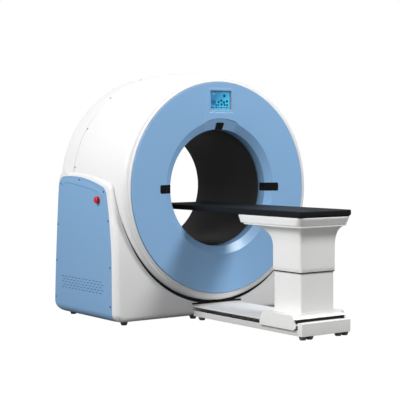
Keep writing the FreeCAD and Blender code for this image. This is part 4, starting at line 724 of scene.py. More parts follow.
class SCANNER_OT_drum(bpy.types.Operator):
    """Drum covers, their seam and the white lip ring"""
    bl_idname = "scanner.drum"
    bl_label = "Drum covers"

    def execute(self, context):
        sizes = context.scene.scanner_gantry
        seam = FACE_Y + sizes.seam_depth
        front, rear = drum_outline(sizes, False), drum_outline(sizes, True)
        full = chain(front, seam_edge(front, seam, 1))
        add("drum_front_cover", turned(walled(full, sizes.shell_wall)), "white_cover",
            replaces=("drum_shell",))
        bend, opening = (REAR_OPENING, REAR_Y), (REAR_OPENING - 0.010, REAR_Y - 0.0012)
        face = chain(seam_edge(rear, seam + SEAM_GAP, -1)[::-1], rear, line(rear[-1], bend, 8),
                     arc(bend, opening, 0.03, 4),
                     line(opening, (sizes.bore_radius + 0.0053, REAR_Y - 0.020), 4))
        add("drum_rear_cover", turned(walled(face, sizes.shell_wall)), "white_cover",
            replaces=("rear_cover",))
        r, w, y = sizes.face_radius, sizes.lip_width, FACE_Y
        lip = chain([(r + 0.0003, y + 0.0125), (r + 0.0003, y + 0.0075)],
                    arc((r + 0.0003, y + 0.0075), (r + 0.0012, y + 0.0066), 0.0012, 3),
                    arc((r + 0.0012, y + 0.0066), (r + w, y + 0.0138), 0.018, 12),
                    [(r + w - 0.002, y + 0.0141), (r + w - 0.007, y + 0.0141),
                     (r + w - 0.007, SHELL_LOW.y), (r - 0.008, SHELL_LOW.y),
                     (r - 0.008, y + 0.0125)])
        add("lip_ring_smooth", turned(lip, 256), "white_cover", replaces=("lip_ring",))
        return {"FINISHED"}


FUNNEL_EDGE = np.array([          # angle from three o'clock in degrees, radius in metres
    (0, .440), (30, .440), (60, .441), (70, .444), (72, .450), (75, .458), (85, .461), (95, .461),
    (104, .457), (107, .450), (112, .447), (130, .447), (160, .443), (180, .441), (220, .437),
    (240, .440), (280, .445), (300, .445), (330, .442), (360, .440)])


def funnel_edge(angle):
    """The funnel's outer radius at an angle, on straight lines between the measured points."""
    return np.interp(np.degrees(angle) % 360, FUNNEL_EDGE[:, 0], FUNNEL_EDGE[:, 1])


def face_surface(sizes):
    """The blue face as one sheet over (angle, distance in from the rim). Outside the funnel's edge
    it is flat, with a low pad under the display; inside, the depth grows linearly from the edge to
    the bore, eased at both ends; then it turns along the bore. Cells under the display's frame are
    left out, so that the display can sit in the opening."""
    steps, brow_height, pad_height, frame_cover = 720, 0.0012, 0.0012, 0.014
    angle = np.linspace(0, FULL_TURN, steps, endpoint=False)[:, None]
    edge, rim, bore = funnel_edge(angle), sizes.face_radius - RIM_GAP, sizes.bore_radius
    flat = np.concatenate([[0, 0.002, 0.006], np.linspace(0.02, 0.985, 30), [0.994]])[None, :]
    slope = np.concatenate([[0.004, 0.02, 0.05], np.linspace(0.12, 0.9, 8), [0.95, 0.98]])[None, :]
    brow = (np.abs(np.degrees(angle) - 90) < 17) * brow_height
    flat_depth = np.zeros((steps, flat.shape[1]))
    flat_depth[:, :2] = 0.008, 0.0006
    sleeve_depth = sizes.funnel_depth + np.array([0.0006, 0.003, 0.02, 0.05, 0.0715])[None, :]
    sleeve_radius = bore + np.array([0.0006, 0, 0, 0, 0])[None, :]
    radius = np.concatenate([rim + (edge - rim) * flat, edge + (bore - edge) * slope,
                             sleeve_radius + 0 * angle], 1)
    depth = np.concatenate([flat_depth, brow + (sizes.funnel_depth - brow) * slope,
                            sleeve_depth + 0 * angle], 1)
    x, z = radius * np.cos(angle), radius * np.sin(angle)
    # the pad ends at four lines, and fades over its own distance at each
    pad = np.clip((x + 0.134) / 0.004, 0, 1) * np.clip((0.30 - x) / 0.15, 0, 1) \
        * np.clip((z - 0.40) / 0.02, 0, 1) * np.clip((0.62 - z) / 0.06, 0, 1)
    on_flat = np.arange(radius.shape[1])[None, :] < flat.shape[1]
    depth = depth - pad_height * pad * on_flat * (depth < 0.001)
    points = np.stack([x, FACE_Y + depth, AXIS_Z + z], -1).reshape(-1, 3)
    faces = quads(steps, radius.shape[1], True, False)
    x, _, z = points[faces].mean(1).T
    hidden = (x > BEZEL_LOW.x + frame_cover) & (x < BEZEL_HIGH.x - frame_cover) \
        & (z > BEZEL_LOW.z + frame_cover) & (z < BEZEL_HIGH.z - frame_cover)
    return points, faces[~hidden][:, ::-1]


class SCANNER_OT_face(bpy.types.Operator):
    """Blue face with its funnel and brow, and the bore's sleeve and liner"""
    bl_idname = "scanner.face"
    bl_label = "Blue face and bore"

    def execute(self, context):
        sizes = context.scene.scanner_gantry
        # the face's lighter blue is painted light
        add("blue_face", face_surface(sizes), "face_blue", "blue_cover", solid=False,
            replaces=("front_face",), wall=0.004, smooth=40)
        inner, outer = sizes.bore_radius, sizes.bore_radius + 0.005
        low, high = LINER_LOW.y, LINER_HIGH.y
        liner = chain(line((inner, low + 0.001), (inner, high - 0.002), 6),
                      arc((inner, high - 0.002), (inner + 0.002, high), -0.002, 4),
                      [(outer, high), (outer, low), (inner + 0.001, low)])
        add("bore_liner_smooth", turned(liner, 256), "bore_black", replaces=("bore_liner",))
        return {"FINISHED"}


def window_strip(path, half_wide, corner, rise, turn):
    """A dark strip let into the face along a bent line of (radius, depth) points from outside to
    inside. A point lies at its own length along the line and at v across it; its front stands off
    along the line's normal by a rise that changes evenly, less along the edges, and its back lies
    6 mm behind. Rows shorten at the ends as a circle does. The other coordinate is the root of the
    radius squared less v squared. turn says whether the strip points upwards."""
    path = np.array(path)
    run = np.r_[0, np.cumsum(np.hypot(*np.diff(path, axis=0).T))]
    fine = np.linspace(0, run[-1], 160)
    bend, tangent = smoothed(sampled(fine, run, path), 12)
    along, over = np.linspace(-1, 1, 61)[None, :], np.linspace(-1, 1, 15)[:, None]
    past = np.clip(np.abs(over) * half_wide - (half_wide - corner), 0, corner)
    reach = run[-1] / 2 - (corner - np.sqrt(corner ** 2 - past ** 2))
    where, v = run[-1] / 2 + reach * along, half_wide * over + 0 * along
    radius, depth, out, ahead = (np.interp(where, fine, values) for values in (
        bend[:, 0], bend[:, 1], -tangent[:, 1], tangent[:, 0]))
    border = np.minimum(reach * (1 - np.abs(along)), half_wide - np.abs(v))
    height = rise[0] + (rise[1] - rise[0]) * (along + 1) / 2 \
        - 0.0012 * (1 - np.clip(border / 0.0015, 0, 1))

    def skin(offset):
        level = np.sqrt((radius + out * offset) ** 2 - v ** 2)
        x, z = (v, level) if turn else (level, v)
        return np.stack([x, FACE_Y + depth + ahead * offset, AXIS_Z + z], -1)
    return plate(skin(height), skin(-0.006 + 0 * height))


class SCANNER_OT_windows(bpy.types.Operator):
    """Three dark positioning-light windows that follow the face, its funnel and its sleeve"""
    bl_idname = "scanner.windows"
    bl_label = "Light windows"

    def execute(self, context):
        sizes = context.scene.scanner_gantry
        low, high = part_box("window_right")
        edge, bore, deep = funnel_edge(0.0), sizes.bore_radius, sizes.funnel_depth
        side = window_strip([(high.x + 0.002, 0), (edge, 0), (bore, deep), (bore, high.y - FACE_Y)],
                            (high.z - low.z) / 2, 0.007, (0.0022, 0.0015), False)
        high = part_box("window_top")[1]
        edge, start = funnel_edge(RIGHT_ANGLE), high.z + 0.002 - AXIS_Z
        top = window_strip([(start, deep * (edge - start) / (edge - bore)), (bore, deep)],
                           high.x + 0.004, 0.0025, (0.0070, 0.0022), True)
        for name, shape in (("right", side), ("left", across(side)), ("top", top)):
            add(f"light_window_{name}", shape, "window_black", smooth=40,
                replaces=(f"window_{name}",))
        return {"FINISHED"}


def display_rings(steps):
    """A closed ring of rounded rectangles round the display, seen from the front. Each step is (how
    far in from the frame's border, depth behind the face's front)."""
    half, bottom, top = BEZEL_HIGH.x, BEZEL_LOW.z, BEZEL_HIGH.z
    return stacked([level_plan(FACE_Y + depth, half - inset, bottom + inset, top - inset,
                               max(0.022 - inset, 0.0035))[:, [0, 2, 1]] for inset, depth in steps])


def display_frame():
    """The display's frame and its reveal. The frame swells out of the face by the smooth step
    3 s squared less 2 s cubed and turns into the recess; the reveal slopes down to the glass."""
    border = [(0.016 * s, 0.0006 - 0.0019 * (3 * s ** 2 - 2 * s ** 3))
              for s in np.linspace(0, 1, 8)]
    border += [(0.0245, -0.0013), (0.0254, -0.0010), (0.0258, -0.0004), (0.0258, 0.0030),
               (0.0200, 0.0040), (0.0020, 0.0040)]
    glass, narrow = GLASS_LOW.y - FACE_Y, BEZEL_HIGH.x - GLASS_HIGH.x + 0.0010
    reveal = [(0.0256, 0.0004), (0.0260, 0.0002), (0.0266, 0.0012), (narrow, glass - 0.0004),
              (narrow, glass + 0.0008), (0.0256, glass + 0.0008)]
    return display_rings(border), display_rings(reveal)


def display_spot(u, v, radius, inner=0.0, lift=0.0006):
    """A thin disc on the display, or a ring where it has an inner radius. u runs from -1 at the
    left to 1 at the right of the lit field and v from 0 to 1 up it."""
    x = u * (GLASS_HIGH.x - 0.006)
    z = GLASS_LOW.z + 0.005 + v * (GLASS_HIGH.z - GLASS_LOW.z - 0.010)
    profile = np.array([(inner, 0), (radius, 0), (radius, 0.0004), (inner, 0.0004)])
    if inner:
        return turned(profile + [0, GLASS_LOW.y - lift], 28, (x, z))
    return spun_button(profile, (x, GLASS_LOW.y - lift, z), (0, 1, 0), 20)


# (u, v, radius) of the icons, and the inner radius of the ring among them
ICONS = [(.15, .50, .0086), (-.15, .40, .0084), (.45, .39, .0088), (.18, .26, .0084),
         (.79, .46, .0090), (.52, .23, .0076), (-.19, .22, .0068), (-.42, .20, .0066),
         (.80, .22, .0076), (.49, .80, .0100), (-.70, .38, .0090), (-.70, .38, .0175, .0130)]
ICONS += [(-0.9 + 0.18 * step, 0.060, 0.0038 if step % 3 else 0.0052) for step in range(11)]
PALE_MARKS = [(-.70, .90, .0042), (-.52, .90, .0018), (-.44, .90, .0018), (-.70, .38, .0022)]


class SCANNER_OT_display(bpy.types.Operator):
    """Display bezel, lit glass and its plain icons"""
    bl_idname = "scanner.display"
    bl_label = "Display"

    def execute(self, context):
        border, reveal = display_frame()
        # the frame takes the face's lighter blue, which is painted light
        add("display_frame", border, "face_blue", "blue_cover", smooth=50,
            replaces=("display_bezel",))
        # the reveal's grey is painted shade on the recess walls
        add("display_reveal", reveal, "reveal_grey", "blue_cover", smooth=50)
        coated("display_glass", "screen")
        add("display_icons", together(display_spot(*icon) for icon in ICONS), "icon_dark", "screen")
        add("display_marks", together(display_spot(*mark, lift=0.0009) for mark in PALE_MARKS),
            "icon_pale", "screen")
        return {"FINISHED"}


# ---- cradle base --------------------------------------------------------------------------------

# the pressed line near the top of a side panel, as (depth behind the face's front, height), and its
# section as (distance out from the line, height of the step)
RELIEF_PATH = np.array([
    (.748, .876), (.738, .892), (.719, .904), (.690, .908), (.623, .906), (.514, .894),
    (.399, .878), (.286, .858), (.262, .850), (.251, .842), (.243, .830), (.238, .818)])
RELIEF_SECTION = np.array([(0.040, -0.0005), (0.030, 0.0004), (0.012, 0.0024), (0.0025, 0.0029),
                           (0.0004, 0.0026), (-0.0016, -0.0006)])


def relief_strip(x_face):
    """A low step carried along the relief line: its section rises gently from outside and drops
    sharply inside; the height fades to nothing at both ends."""
    count = len(RELIEF_PATH)
    path = sampled(np.linspace(0, count - 1, 90), np.arange(count), RELIEF_PATH + [FACE_Y, 0])
    path, way = smoothed(path, 6)
    outward = np.stack([way[:, 1], -way[:, 0]], 1)
    fade = np.sin(np.linspace(0.06, math.pi - 0.06, len(path)))[:, None] ** 0.35
    out, rise = RELIEF_SECTION.T[:, None, :]
    spot = path[:, None, :] + outward[:, None, :] * out[..., None]
    height = np.where(rise > 0, rise * fade, rise)
    return stacked(np.stack([x_face - height, spot[..., 0], spot[..., 1]], -1), closed=False)


def cradle_seal(outline, start=196.0, end=344.0):
    """A dark lip seal in the gap between the drum and the cradle, made wide so that its black
    also stands in for the shade in that gap, as painted shade: a five-sided section carried
    along the arc between two angles in degrees. It follows the base's front, which leans back by
    0.028 t + 0.213 t^2 at t metres above its upright part, and the drum's radius at that depth.
    Its width follows the sine of the share of the way, so that it thins out at both ends."""
    upright_top, throat = 0.420, 0.757
    share = np.linspace(0, 1, 121)
    angle = np.radians(start + (end - start) * share)[:, None]
    wide = np.clip(np.sin(math.pi * share), 0, 1)[:, None]
    t = np.clip(AXIS_Z + throat * np.sin(angle) - upright_top, 0, None)
    front = BASE_LOW.y + 0.028 * t + 0.213 * t ** 2
    drum = np.interp(front, outline[:, 1], outline[:, 0]) - 0.0004
    out, back = np.array([(0, 0.0005), (0.0030, -0.0016), (0.0240, -0.0010), (0.0250, 0.0020),
                          (0, 0.0060)]).T[:, None, :]
    radius, depth = drum + out * (0.05 + 0.95 * wide), front + back * (0.3 + 0.7 * wide)
    return stacked(np.stack([radius * np.cos(angle), depth, AXIS_Z + radius * np.sin(angle)], -1),
                   closed=False)


class SCANNER_OT_base(bpy.types.Operator):
    """Cradle base, its blue side panels and their pressed lines"""
    bl_idname = "scanner.base"
    bl_label = "Cradle base"

    def execute(self, context):
        eased("base_shell", "cradle_base", "white_cover", 0.0025, smooth=28, bevel_angle=35)
        for side in ("left", "right"):
            eased(f"side_panel_{side}", f"flank_panel_{side}", "blue_cover", 0.0008, segments=2)
        flank, vents = BASE_LOW.x, np.array([(FACE_Y + 0.209, 0.191), (FACE_Y + 0.800, 0.279)])
        # the gauze behind the vent slots is painted shade: a sheet in the panels' blue at half
        # strength
        add_pair("vent_gauze", slab((flank - 0.0004, *vents[0]), (flank + 0.0002, *vents[1])),
                 "gauze", "rubber")
        seal = cradle_seal(drum_outline(context.scene.scanner_gantry, False))
        # the seal's black is partly painted shade for the dark gap round the drum
        add("cradle_seal", seal, "seal_black", "rubber", smooth=40)
        add_pair("panel_relief", relief_strip(flank - 0.003), "blue_cover", smooth=50)
        return {"FINISHED"}


def mushroom(node, outward):
    """An emergency stop's head and stem, turned about its own axis: a domed cap with a rolled rim
    and a deep skirt, and the stem."""
    low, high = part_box(node)
    centre = (low + high) / 2
    r, stem = (high.z - low.z) / 2, high.x - low.x
    profile = chain([(0, 0)], arc((0.0005, 0), (r * 0.78, 0.0040), 0.036, 8),
                    arc((r * 0.78, 0.0040), (r, 0.0088), 0.0062, 6),
                    arc((r, 0.0150), (r - 0.0014, 0.0164), 0.0014, 3),
                    [(0.0135, 0.0164), (0.012, 0.0174), (0.012, stem), (0, stem)])
    tip = low.x if outward < 0 else high.x
    return spun_button(profile, (tip, centre.y, centre.z), (-outward, 0, 0), 40)


class SCANNER_OT_stops(bpy.types.Operator):
    """Emergency stop buttons and their collars"""
    bl_idname = "scanner.stops"
    bl_label = "Emergency stops"

    def execute(self, context):
        for side, outward in (("left", -1), ("right", 1)):
            node = f"stop_button_{side}"
            add(f"stop_head_{side}", mushroom(node, outward), "red_plastic", body=node,
                replaces=(node,), smooth=45)
            eased(f"stop_housing_{side}", f"stop_collar_{side}", "red_plastic", 0.0012, segments=2)
        return {"FINISHED"}


def foot_shape(low, high):
    """A levelling foot between two corners, about an upright line: a low cone that widens upwards,
    with an eased foot and shoulder, and a short stem."""
    x, y, _ = (low + high) / 2
    radius, top, stem, shoulder, ease = (high[0] - low[0]) / 2, high[2], 0.009, 0.0200, 0.0015
    foot = radius * 0.76
    profile = chain([(0, 0)], arc((foot - ease, 0), (foot, ease), ease, 3), [(radius, 0.0160)],
                    arc((radius, shoulder - ease), (radius - ease, shoulder), ease, 3),
                    [(stem, shoulder), (stem, top), (0, top)])
    return spun_button(profile, (x, y, 0), (0, 0, 1), 32)


def screw_shape(low, high):
    """A socket screw between two corners, about its own axis: across on the side panels, and away
    from the bore's axis on the drum."""
    middle, size, radius, socket = (low + high) / 2, high - low, 0.0062, 0.0028
    thin, far_out, low_down = size[0] < 0.0045, abs(middle[0]) > 0.78, middle[2] < 0.99
    on_panel = thin and far_out and low_down
    axis = [middle[0], 0, 0 if on_panel else middle[2] - AXIS_Z]
    end = (size[0] if on_panel else 0.0060) / 2
    profile = np.array([(0, -end), (radius, -end), (radius, end - 0.0006), (radius - 0.0006, end),
                        (socket, end), (socket - 0.0003, end - 0.0018), (0, end - 0.0018)])
    return spun_button(profile, middle, axis, 18)


def solid_corners(node):
    """The lowest and highest corners of each separate solid of a node. Every corner of its welded
    copy takes the smallest number among its neighbours, over whole arrays, until none changes, so
    that the corners of one solid end with the same number."""
    mesh = welded(node)
    points, edges = np.zeros(len(mesh.vertices) * 3), np.zeros(len(mesh.edges) * 2, np.int32)
    mesh.vertices.foreach_get("co", points)
    mesh.edges.foreach_get("vertices", edges)
    points, edges = points.reshape(-1, 3), edges.reshape(-1, 2)
    number, before = np.arange(len(points)), None
    while before is None or (number != before).any():
        before = number.copy()
        least = number[edges].min(1)
        np.minimum.at(number, edges[:, 0], least)
        np.minimum.at(number, edges[:, 1], least)
        number = number[number]
    solids = (points[number == which] for which in np.unique(number[np.unique(edges)]))
    return [(corners.min(0), corners.max(0)) for corners in solids]


class SCANNER_OT_fittings(bpy.types.Operator):
    """Levelling feet and cover screws"""
    bl_idname = "scanner.fittings"
    bl_label = "Feet and screws"

    def execute(self, context):
        for node in ("gantry_feet", "table_feet"):
            add(f"{node}_coned", together(foot_shape(*ends) for ends in solid_corners(node)),
                "rubber", replaces=(node,), smooth=50)
        add("socket_screws", together(screw_shape(*ends) for ends in solid_corners("cover_screws")),
            "screw_steel", "steel", replaces=("cover_screws",), smooth=40)
        return {"FINISHED"}


# ---- patient table ------------------------------------------------------------------------------

def rounded_outline(corners):
    """A closed outline from (across, up, radius) corners: each corner is cut where a circle of its
    radius touches both sides, at the radius over the tangent of half the corner's angle from it,
    and the arc between the two cuts follows that circle."""
    points, radius = np.array(corners, float)[:, :2], np.array(corners, float)[:, 2]
    back, ahead = np.roll(points, 1, 0) - points, np.roll(points, -1, 0) - points
    back, ahead = (way / np.hypot(*way.T)[:, None] for way in (back, ahead))
    cut = radius / np.tan(np.arccos(np.clip((back * ahead).sum(1), -1, 1)) / 2)
    return np.concatenate([arc(point + first * d, point + second * d, r, 6) for
                           point, first, second, d, r in zip(points, back, ahead, cut, radius)])


def carriage_hood():
    """The carriage's upper cover as a closed ring of plan outlines: up the outside, in over the top
    to the plinth, up it, down through the column's opening and out under the top. Each row is (base
    height, rise above it, inset from the side, near end and far end, corner radius); a plinth row
    is (rise above the top, distance out from the column, corner radius)."""
    foot, top, half = 0.1178, COVER_HIGH.z - 0.008, COVER_HIGH.x
    near, far = COVER_LOW.y, COVER_HIGH.y - 0.020

    def skirt(*rows):
        return [level_plan(base + rise, half - side, near + front, far - back, corner, 8)
                for base, rise, side, front, back, corner in rows]
    outside = skirt(
        (foot, 0, .0038, .0010, .0010, .016), (foot, .0007, .0028, 0, 0, .018),
        (foot, .0022, .0026, 0, .0005, .020), (foot, .0038, .0026, .0020, .0010, .022),
        (foot, .0100, .0026, .0215, .0040, .030), (foot, .0118, .0028, .0242, .0050, .032),
        (top, -.0050, .0040, .0270, .0130, .034), (top, -.0015, .0060, .0282, .0160, .034),
        (top, 0, .0095, .0288, .0200, .034))
    plinth = [level_plan(top + rise, COLUMN_HIGH.x + out, COLUMN_LOW.y - out, COLUMN_HIGH.y + out,
                         corner, 8)
              for rise, out, corner in ((.0002, .0060, .010), (.0070, .0060, .010),
                                        (.0080, .0050, .009), (.0080, .0010, .008),
                                        (-.0060, .0010, .008))]
    under = skirt((top, -.0060, .010, .0340, .0260, .028), (foot, 0, .010, .0050, .0060, .014))
    return stacked(outside + plinth + under)


def carriage_sides():
    """The carriage's left side wing and the flange turned in at its near end, each as a flat
    outline of (depth, height, corner radius) between an outer and an inner face, which are given
    as shares of the cover's half width."""
    low, high = COVER_LOW.y, COVER_HIGH.y
    wing = [(low + 0.019, 0.0552, 0.009), (high - 0.003, 0.0552, 0.007),
            (high - 0.0100, 0.095, 0.060), (high - 0.0300, 0.1425, 0.010),
            (low + 0.0310, 0.1440, 0.007), (low + 0.0120, 0.106, 0.050),
            (low + 0.0005, 0.066, 0.009)]
    flange = [(low + 0.0070, 0.0640, 0.002), (low + 0.0190, 0.106, 0.02),
              (low + 0.0250, 0.1185, 0.002), (low + 0.0175, 0.1185, 0.002),
              (low + 0.0125, 0.106, 0.02), (low + 0.0010, 0.0660, 0.002)]
    for name, corners, faces in (("wing", wing, (1.0, 0.978)), ("flange", flange, (0.979, 0.939))):
        outline = rounded_outline(corners)
        sides = [np.full(len(outline), -share * COVER_HIGH.x) for share in faces]
        yield name, stacked([np.column_stack([x, outline]) for x in sides], closed=False)


class SCANNER_OT_table_base(bpy.types.Operator):
    """Table base, carriage and lower column"""
    bl_idname = "scanner.table_base"
    bl_label = "Table base and carriage"

    def execute(self, context):
        for node, body, finish, bevel in (("table_base_pan", "gantry", "rail_white", 0.0012),
                                          ("table_base_lid", "gantry", "rail_white", 0.0015),
                                          ("table_end_block", "gantry", "white_paint", 0.0030),
                                          ("lower_column", "carriage", "white_paint", 0.0010)):
            eased(node, f"{node}_edged", finish, bevel, "white_paint", body)
        add("carriage_hood", carriage_hood(), "white_paint", body="carriage",
            replaces=("carriage_cover",), smooth=40)
        for part, shape in carriage_sides():
            add_pair(f"carriage_{part}", shape, "white_paint", body="carriage", bevel=0.0011,
                     segments=2)
        half, foot, top = 0.187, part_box("table_base_lid")[1].z + 0.0013, 0.1195
        # black wipers at the hood's ends: partly real, partly painted shade that darkens the side
        # slot
        for name, y in (("near", COVER_LOW.y + 0.0055), ("far", COVER_HIGH.y - 0.0310)):
            add(f"carriage_wiper_{name}", slab((-half, y, foot), (half, y + 0.003, top)),
                "seal_black", "rubber", "carriage", bevel=0.0006, segments=2)
        (low, high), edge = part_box("table_base_pan"), 0.006
        # a black sheet on the pan's floor: painted shade for the dark inside of the base
        add("pan_mat", slab((edge - high.x, low.y + edge, low.z + 0.0041),
                            (high.x - edge, high.y - edge, low.z + 0.0047)), "seal_black", "rubber")
        eased("dock_seal", "dock_seal_strip", "seal_black", 0.0025, "rubber")
        eased("saddle", "saddle_bridge", "steel", 0.0010, body="carriage")
        return {"FINISHED"}


def sleeve_plan(sizes, inset, height, share=0.0, corner=SLEEVE_CORNER):
    """The upper column's plan at a share of its spread, drawn in by an inset."""
    return level_plan(height, sizes.sleeve_half_width - inset + FLARE_SIDE * share,
                      COLUMN_Y - sizes.sleeve_half_depth + inset - FLARE_NEAR * share,
                      COLUMN_Y + sizes.sleeve_half_depth - inset + FLARE_FAR * share,
                      corner + FLARE_CORNER * share)


def sleeve_sections(sizes, inset):
    """Outlines of the upper column from its foot to its rim, drawn in by an inset. Where it
    spreads, with the angle f from 0 to a right angle, the height's share is sin f to the power 2/p
    and the spread's share is one minus cos f to the power 2/p."""
    f, p = np.linspace(0, RIGHT_ANGLE, 28), sizes.flare_power
    rise, spread = np.sin(f) ** (2 / p), 1 - np.clip(np.cos(f), 0, 1) ** (2 / p)
    low, rim = SLEEVE_LOW.z + 0.0010, SLEEVE_HIGH.z - 0.0008
    start, growth = sizes.flare_start, sizes.flare_rim - sizes.flare_start
    heights = np.concatenate([np.linspace(low, start, 6)[:-1], start + growth * rise, [rim]])
    shares = np.concatenate([np.zeros(5), spread, [1.0]])
    return [sleeve_plan(sizes, inset, height, share) for height, share in zip(heights, shares)]


class SCANNER_OT_column(bpy.types.Operator):
    """Upper column with its smooth flare"""
    bl_idname = "scanner.column"
    bl_label = "Upper column"

    def execute(self, context):
        sizes, foot = context.scene.scanner_table, SLEEVE_LOW.z
        ease = [sleeve_plan(sizes, inset, foot) for inset in (sizes.sleeve_wall - 0.0008, 0.0008)]
        outer, inner = sleeve_sections(sizes, 0.0), sleeve_sections(sizes, sizes.sleeve_wall)
        add("upper_column_smooth", stacked(ease + outer + inner[::-1]), "white_paint", body="lift",
            replaces=("upper_column",), smooth=40)
        wiper = [sleeve_plan(sizes, inset, foot + rise, corner=0.012)
                 for inset, rise in ((0.0022, -0.0060), (0.0012, -0.0050), (0.0012, 0.0004),
                                     (0.0036, 0.0004), (0.0055, -0.0002), (0.0055, -0.0060))]
        add("column_wiper", stacked(wiper), "seal_black", "rubber", "lift", smooth=40)
        return {"FINISHED"}


def tray_plan(share, inset, height):
    """The tray's plan at a share of the way up its taper, drawn in by an inset."""
    foot_half, taper, near, far, least_corner = 0.200, 0.007, 0.018, 0.012, 0.004
    return level_plan(height, foot_half + taper * share - inset,
                      TRAY_LOW.y + near * (1 - share) + inset,
                      TRAY_HIGH.y - far * (1 - share) - inset,
                      max(TRAY_CORNER - inset, least_corner))


class SCANNER_OT_tray(bpy.types.Operator):
    """White tray under the tabletop"""
    bl_idname = "scanner.tray"
    bl_label = "Tray"

    def execute(self, context):
        low, high = TRAY_LOW.z, TRAY_HIGH.z
        steps = [(0, 0.0040, low), (0, 0.0012, low + 0.0008), (0.02, 0.0, low + 0.0035)]
        steps += [(share, 0.0, low + 0.0035 + (high - low - 0.0125) * share)
                  for share in np.linspace(0.1, 0.92, 6)]
        steps += [(1, 0.0006, high - 0.0085), (1, 0.0, high - 0.0070), (1, 0.0, high - 0.0050),
                  (1, 0.0045, high - 0.0002), (1, 0.0060, high), (1, 0.0080, high),
                  (0.9, 0.0090, high - 0.004), (0, 0.0090, low + 0.005)]
        # its lighter white is painted light
        add("tray_tapered", stacked([tray_plan(*step) for step in steps], closed=False),
            "tray_white", "white_cover", "lift", replaces=("tray",), smooth=40)
        return {"FINISHED"}


class SCANNER_OT_tabletop(bpy.types.Operator):
    """Black tabletop with rounded edges and a shallow seam round its pad"""
    bl_idname = "scanner.tabletop"
    bl_label = "Tabletop"

    def execute(self, context):
        sizes = context.scene.scanner_table
        low, high, r = SLAB_LOW.z, SLAB_HIGH.z, sizes.slab_round
        turn = np.linspace(0, RIGHT_ANGLE, 6)
        steps = [(r * (1 - math.sin(a)), low + r * (1 - math.cos(a))) for a in turn]
        steps += [(r * (1 - math.cos(a)), high - r * (1 - math.sin(a))) for a in turn]
        steps += [(0.0140, high), (0.0148, high - 0.0010), (0.0160, high - 0.0010), (0.0170, high)]
        sections = [level_plan(height, sizes.slab_half_width - inset, SLAB_LOW.y + inset,
                               SLAB_HIGH.y - inset, max(sizes.slab_corner - inset, 0.008), 8, 6)
                    for inset, height in steps]
        add("tabletop_slab", stacked(sections, closed=False), "tabletop_black", body="lift",
            replaces=("tabletop",), smooth=40)
        return {"FINISHED"}


# ---- finishes on the remaining solids, and the studio -------------------------------------------

class SCANNER_OT_inner_finishes(bpy.types.Operator):
    """Finishes on the solids that are shown as they are"""
    bl_idname = "scanner.inner_finishes"
    bl_label = "Inner finishes"

    def execute(self, context):
        finishes = {part["node"]: part["material_slot"] for part in frame["record"]["subparts"]}
        # near-black rails: painted shade, so that the slot they show through looks dark
        finishes["travel_rails"] = "screw_steel"
        for node, piece in frame["nodes"].items():
            if not piece.hide_render and node != "display_glass":
                coated(node, finishes[node])
        return {"FINISHED"}


LAMPS = {          # degrees from straight in front, degrees above the level, width in metres
    "side": (-90, 35, 2.6), "front": (30, 45, 1.9), "low": (-60, 12, 2.6), "rear": (150, 62, 2.6),
    "right": (100, 30, 2.6)}
LAMP_TARGET, LAMP_DISTANCE = Vector((0, 0, 0.8)), 6.5
VIEW_TARGET = Vector((-0.175, FACE_Y, 0.7957))
WHITE = (1, 1, 1, 1)


def way_out(azimuth, elevation):
    """The direction at two angles in degrees: azimuth 0 is straight in front of the gantry."""
    azimuth, elevation = math.radians(azimuth), math.radians(elevation)
    level = math.cos(elevation)
    return Vector((math.sin(azimuth) * level, -math.cos(azimuth) * level, math.sin(elevation)))


def studio_paper():
    """White paper floor: the camera sees it lit nearly evenly, with a trace of shadow, and the
    light that it gives back to the object is dimmer, as from a floor that falls away."""
    material, graph, surface = shader("studio_paper", Roughness=0.9, Specular_IOR_Level=0.1)
    grain = graph.noise(0.8, 2.0, graph.place())
    graph.feed(graph.mix(grain, (0.16, 0.16, 0.16, 1), (0.17, 0.17, 0.17, 1)),
               surface.inputs["Base Color"])
    glow = graph.put("Emission", {"Strength": 1.06, "Color": WHITE})
    seen = graph.put("LightPath").outputs["Is Camera Ray"]
    sight = graph.choose(graph.math("MULTIPLY", seen, 0.95), surface, glow)
    graph.feed(sight, graph.tree.nodes["Material Output"].inputs["Surface"])
    return material


def studio_world(strength):
    """An even white surround: full white to the camera and dimmer as a light."""
    world = bpy.data.worlds.new("studio_surround")
    world.use_nodes = True
    graph = Graph(world.node_tree)
    sky, white = graph.tree.nodes["Background"], graph.put("Background")
    for background, level in ((sky, strength), (white, 1.0)):
        graph.feed(WHITE, background.inputs["Color"])
        graph.feed(level, background.inputs["Strength"])
    sight = graph.choose(graph.put("LightPath").outputs["Is Camera Ray"], sky, white)
    graph.feed(sight, graph.tree.nodes["World Output"].inputs["Surface"])
    return world


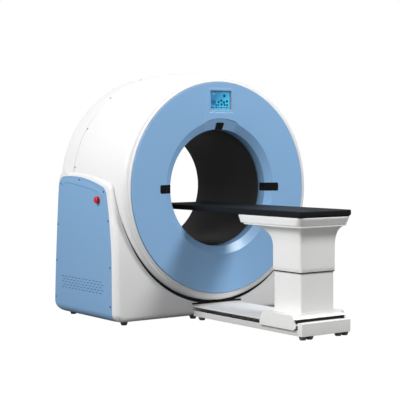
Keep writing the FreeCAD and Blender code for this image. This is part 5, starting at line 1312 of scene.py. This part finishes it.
class SCANNER_OT_studio(bpy.types.Operator):
    """Pale floor, soft lamps and the camera"""
    bl_idname = "scanner.studio"
    bl_label = "Studio"

    def execute(self, context):
        scene, studio, reach = context.scene, context.scene.scanner_studio, 30.0
        floor = mesh_from([(-reach, -reach, 0), (reach, -reach, 0), (reach, reach, 0),
                           (-reach, reach, 0)], [(0, 1, 2, 3)], solid=False)
        floor.materials.append(studio_paper())
        stage = self.linked(scene, "studio_floor", floor)
        for name, (azimuth, elevation, size) in LAMPS.items():
            light = bpy.data.lights.new(f"{name}_lamp", "AREA")
            light.shape, light.size, light.energy = "DISK", size, getattr(studio, f"{name}_power")
            lamp, away = self.linked(scene, f"{name}_lamp", light), way_out(azimuth, elevation)
            lamp.location = LAMP_TARGET + away * LAMP_DISTANCE
            lamp.rotation_euler = (-away).to_track_quat("-Z", "Y").to_euler()
        scene.world = studio_world(studio.sky)
        scene.camera = self.camera(scene, studio)
        scene.view_settings.view_transform = "Standard"
        return {"FINISHED"}

    @staticmethod
    def linked(scene, name, data):
        made = bpy.data.objects.new(name, data)
        scene.collection.objects.link(made)
        return made

    def camera(self, scene, studio):
        """Looks from the azimuth and elevation at one point, rolled about the view line."""
        away = way_out(studio.azimuth, studio.elevation)
        right = (-away).cross(Vector((0, 0, 1))).normalized()
        up = right.cross(-away)
        c, s = math.cos(math.radians(studio.roll)), math.sin(math.radians(studio.roll))
        columns = (right * c + up * s, up * c - right * s, away)
        view = bpy.data.cameras.new("photo_camera")
        view.sensor_fit, view.sensor_width, view.lens = "HORIZONTAL", 36.0, studio.lens
        view.clip_end = 100.0
        camera = self.linked(scene, "photo_camera", view)
        camera.matrix_world = Matrix.Translation(VIEW_TARGET + away * studio.distance) @ \
            Matrix(columns).transposed().to_4x4()
        return camera


OPERATORS = (SCANNER_OT_studio, SCANNER_OT_drum, SCANNER_OT_face, SCANNER_OT_windows,
             SCANNER_OT_display, SCANNER_OT_base, SCANNER_OT_stops, SCANNER_OT_fittings,
             SCANNER_OT_table_base, SCANNER_OT_column, SCANNER_OT_tray, SCANNER_OT_tabletop,
             SCANNER_OT_inner_finishes)
GROUPS = {"scanner_gantry": GantrySizes, "scanner_table": TableSizes,
          "scanner_colours": FinishColours, "scanner_studio": StudioSettings}


class SCANNER_PT_panel(bpy.types.Panel):
    bl_label = "CT scanner"
    bl_idname = "SCANNER_PT_panel"
    bl_space_type = "VIEW_3D"
    bl_region_type = "UI"
    bl_category = "Scanner"

    def draw(self, context):
        for kind in OPERATORS:
            self.layout.operator(kind.bl_idname)
        for name, kind in GROUPS.items():
            box = self.layout.box()
            box.label(text=name.removeprefix("scanner_").capitalize())
            for size in kind.__annotations__:
                box.prop(getattr(context.scene, name), size)


def register():
    for kind in (*GROUPS.values(), *OPERATORS, SCANNER_PT_panel):
        bpy.utils.register_class(kind)
    for name, kind in GROUPS.items():
        setattr(bpy.types.Scene, name, PointerProperty(type=kind))


def unregister():
    for name in GROUPS:
        delattr(bpy.types.Scene, name)
    for kind in (SCANNER_PT_panel, *reversed(OPERATORS), *reversed(GROUPS.values())):
        bpy.utils.unregister_class(kind)


def main():
    register()
    for kind in OPERATORS:
        area, action = kind.bl_idname.split(".")
        getattr(getattr(bpy.ops, area), action)()


if __name__ == "__main__":
    main()
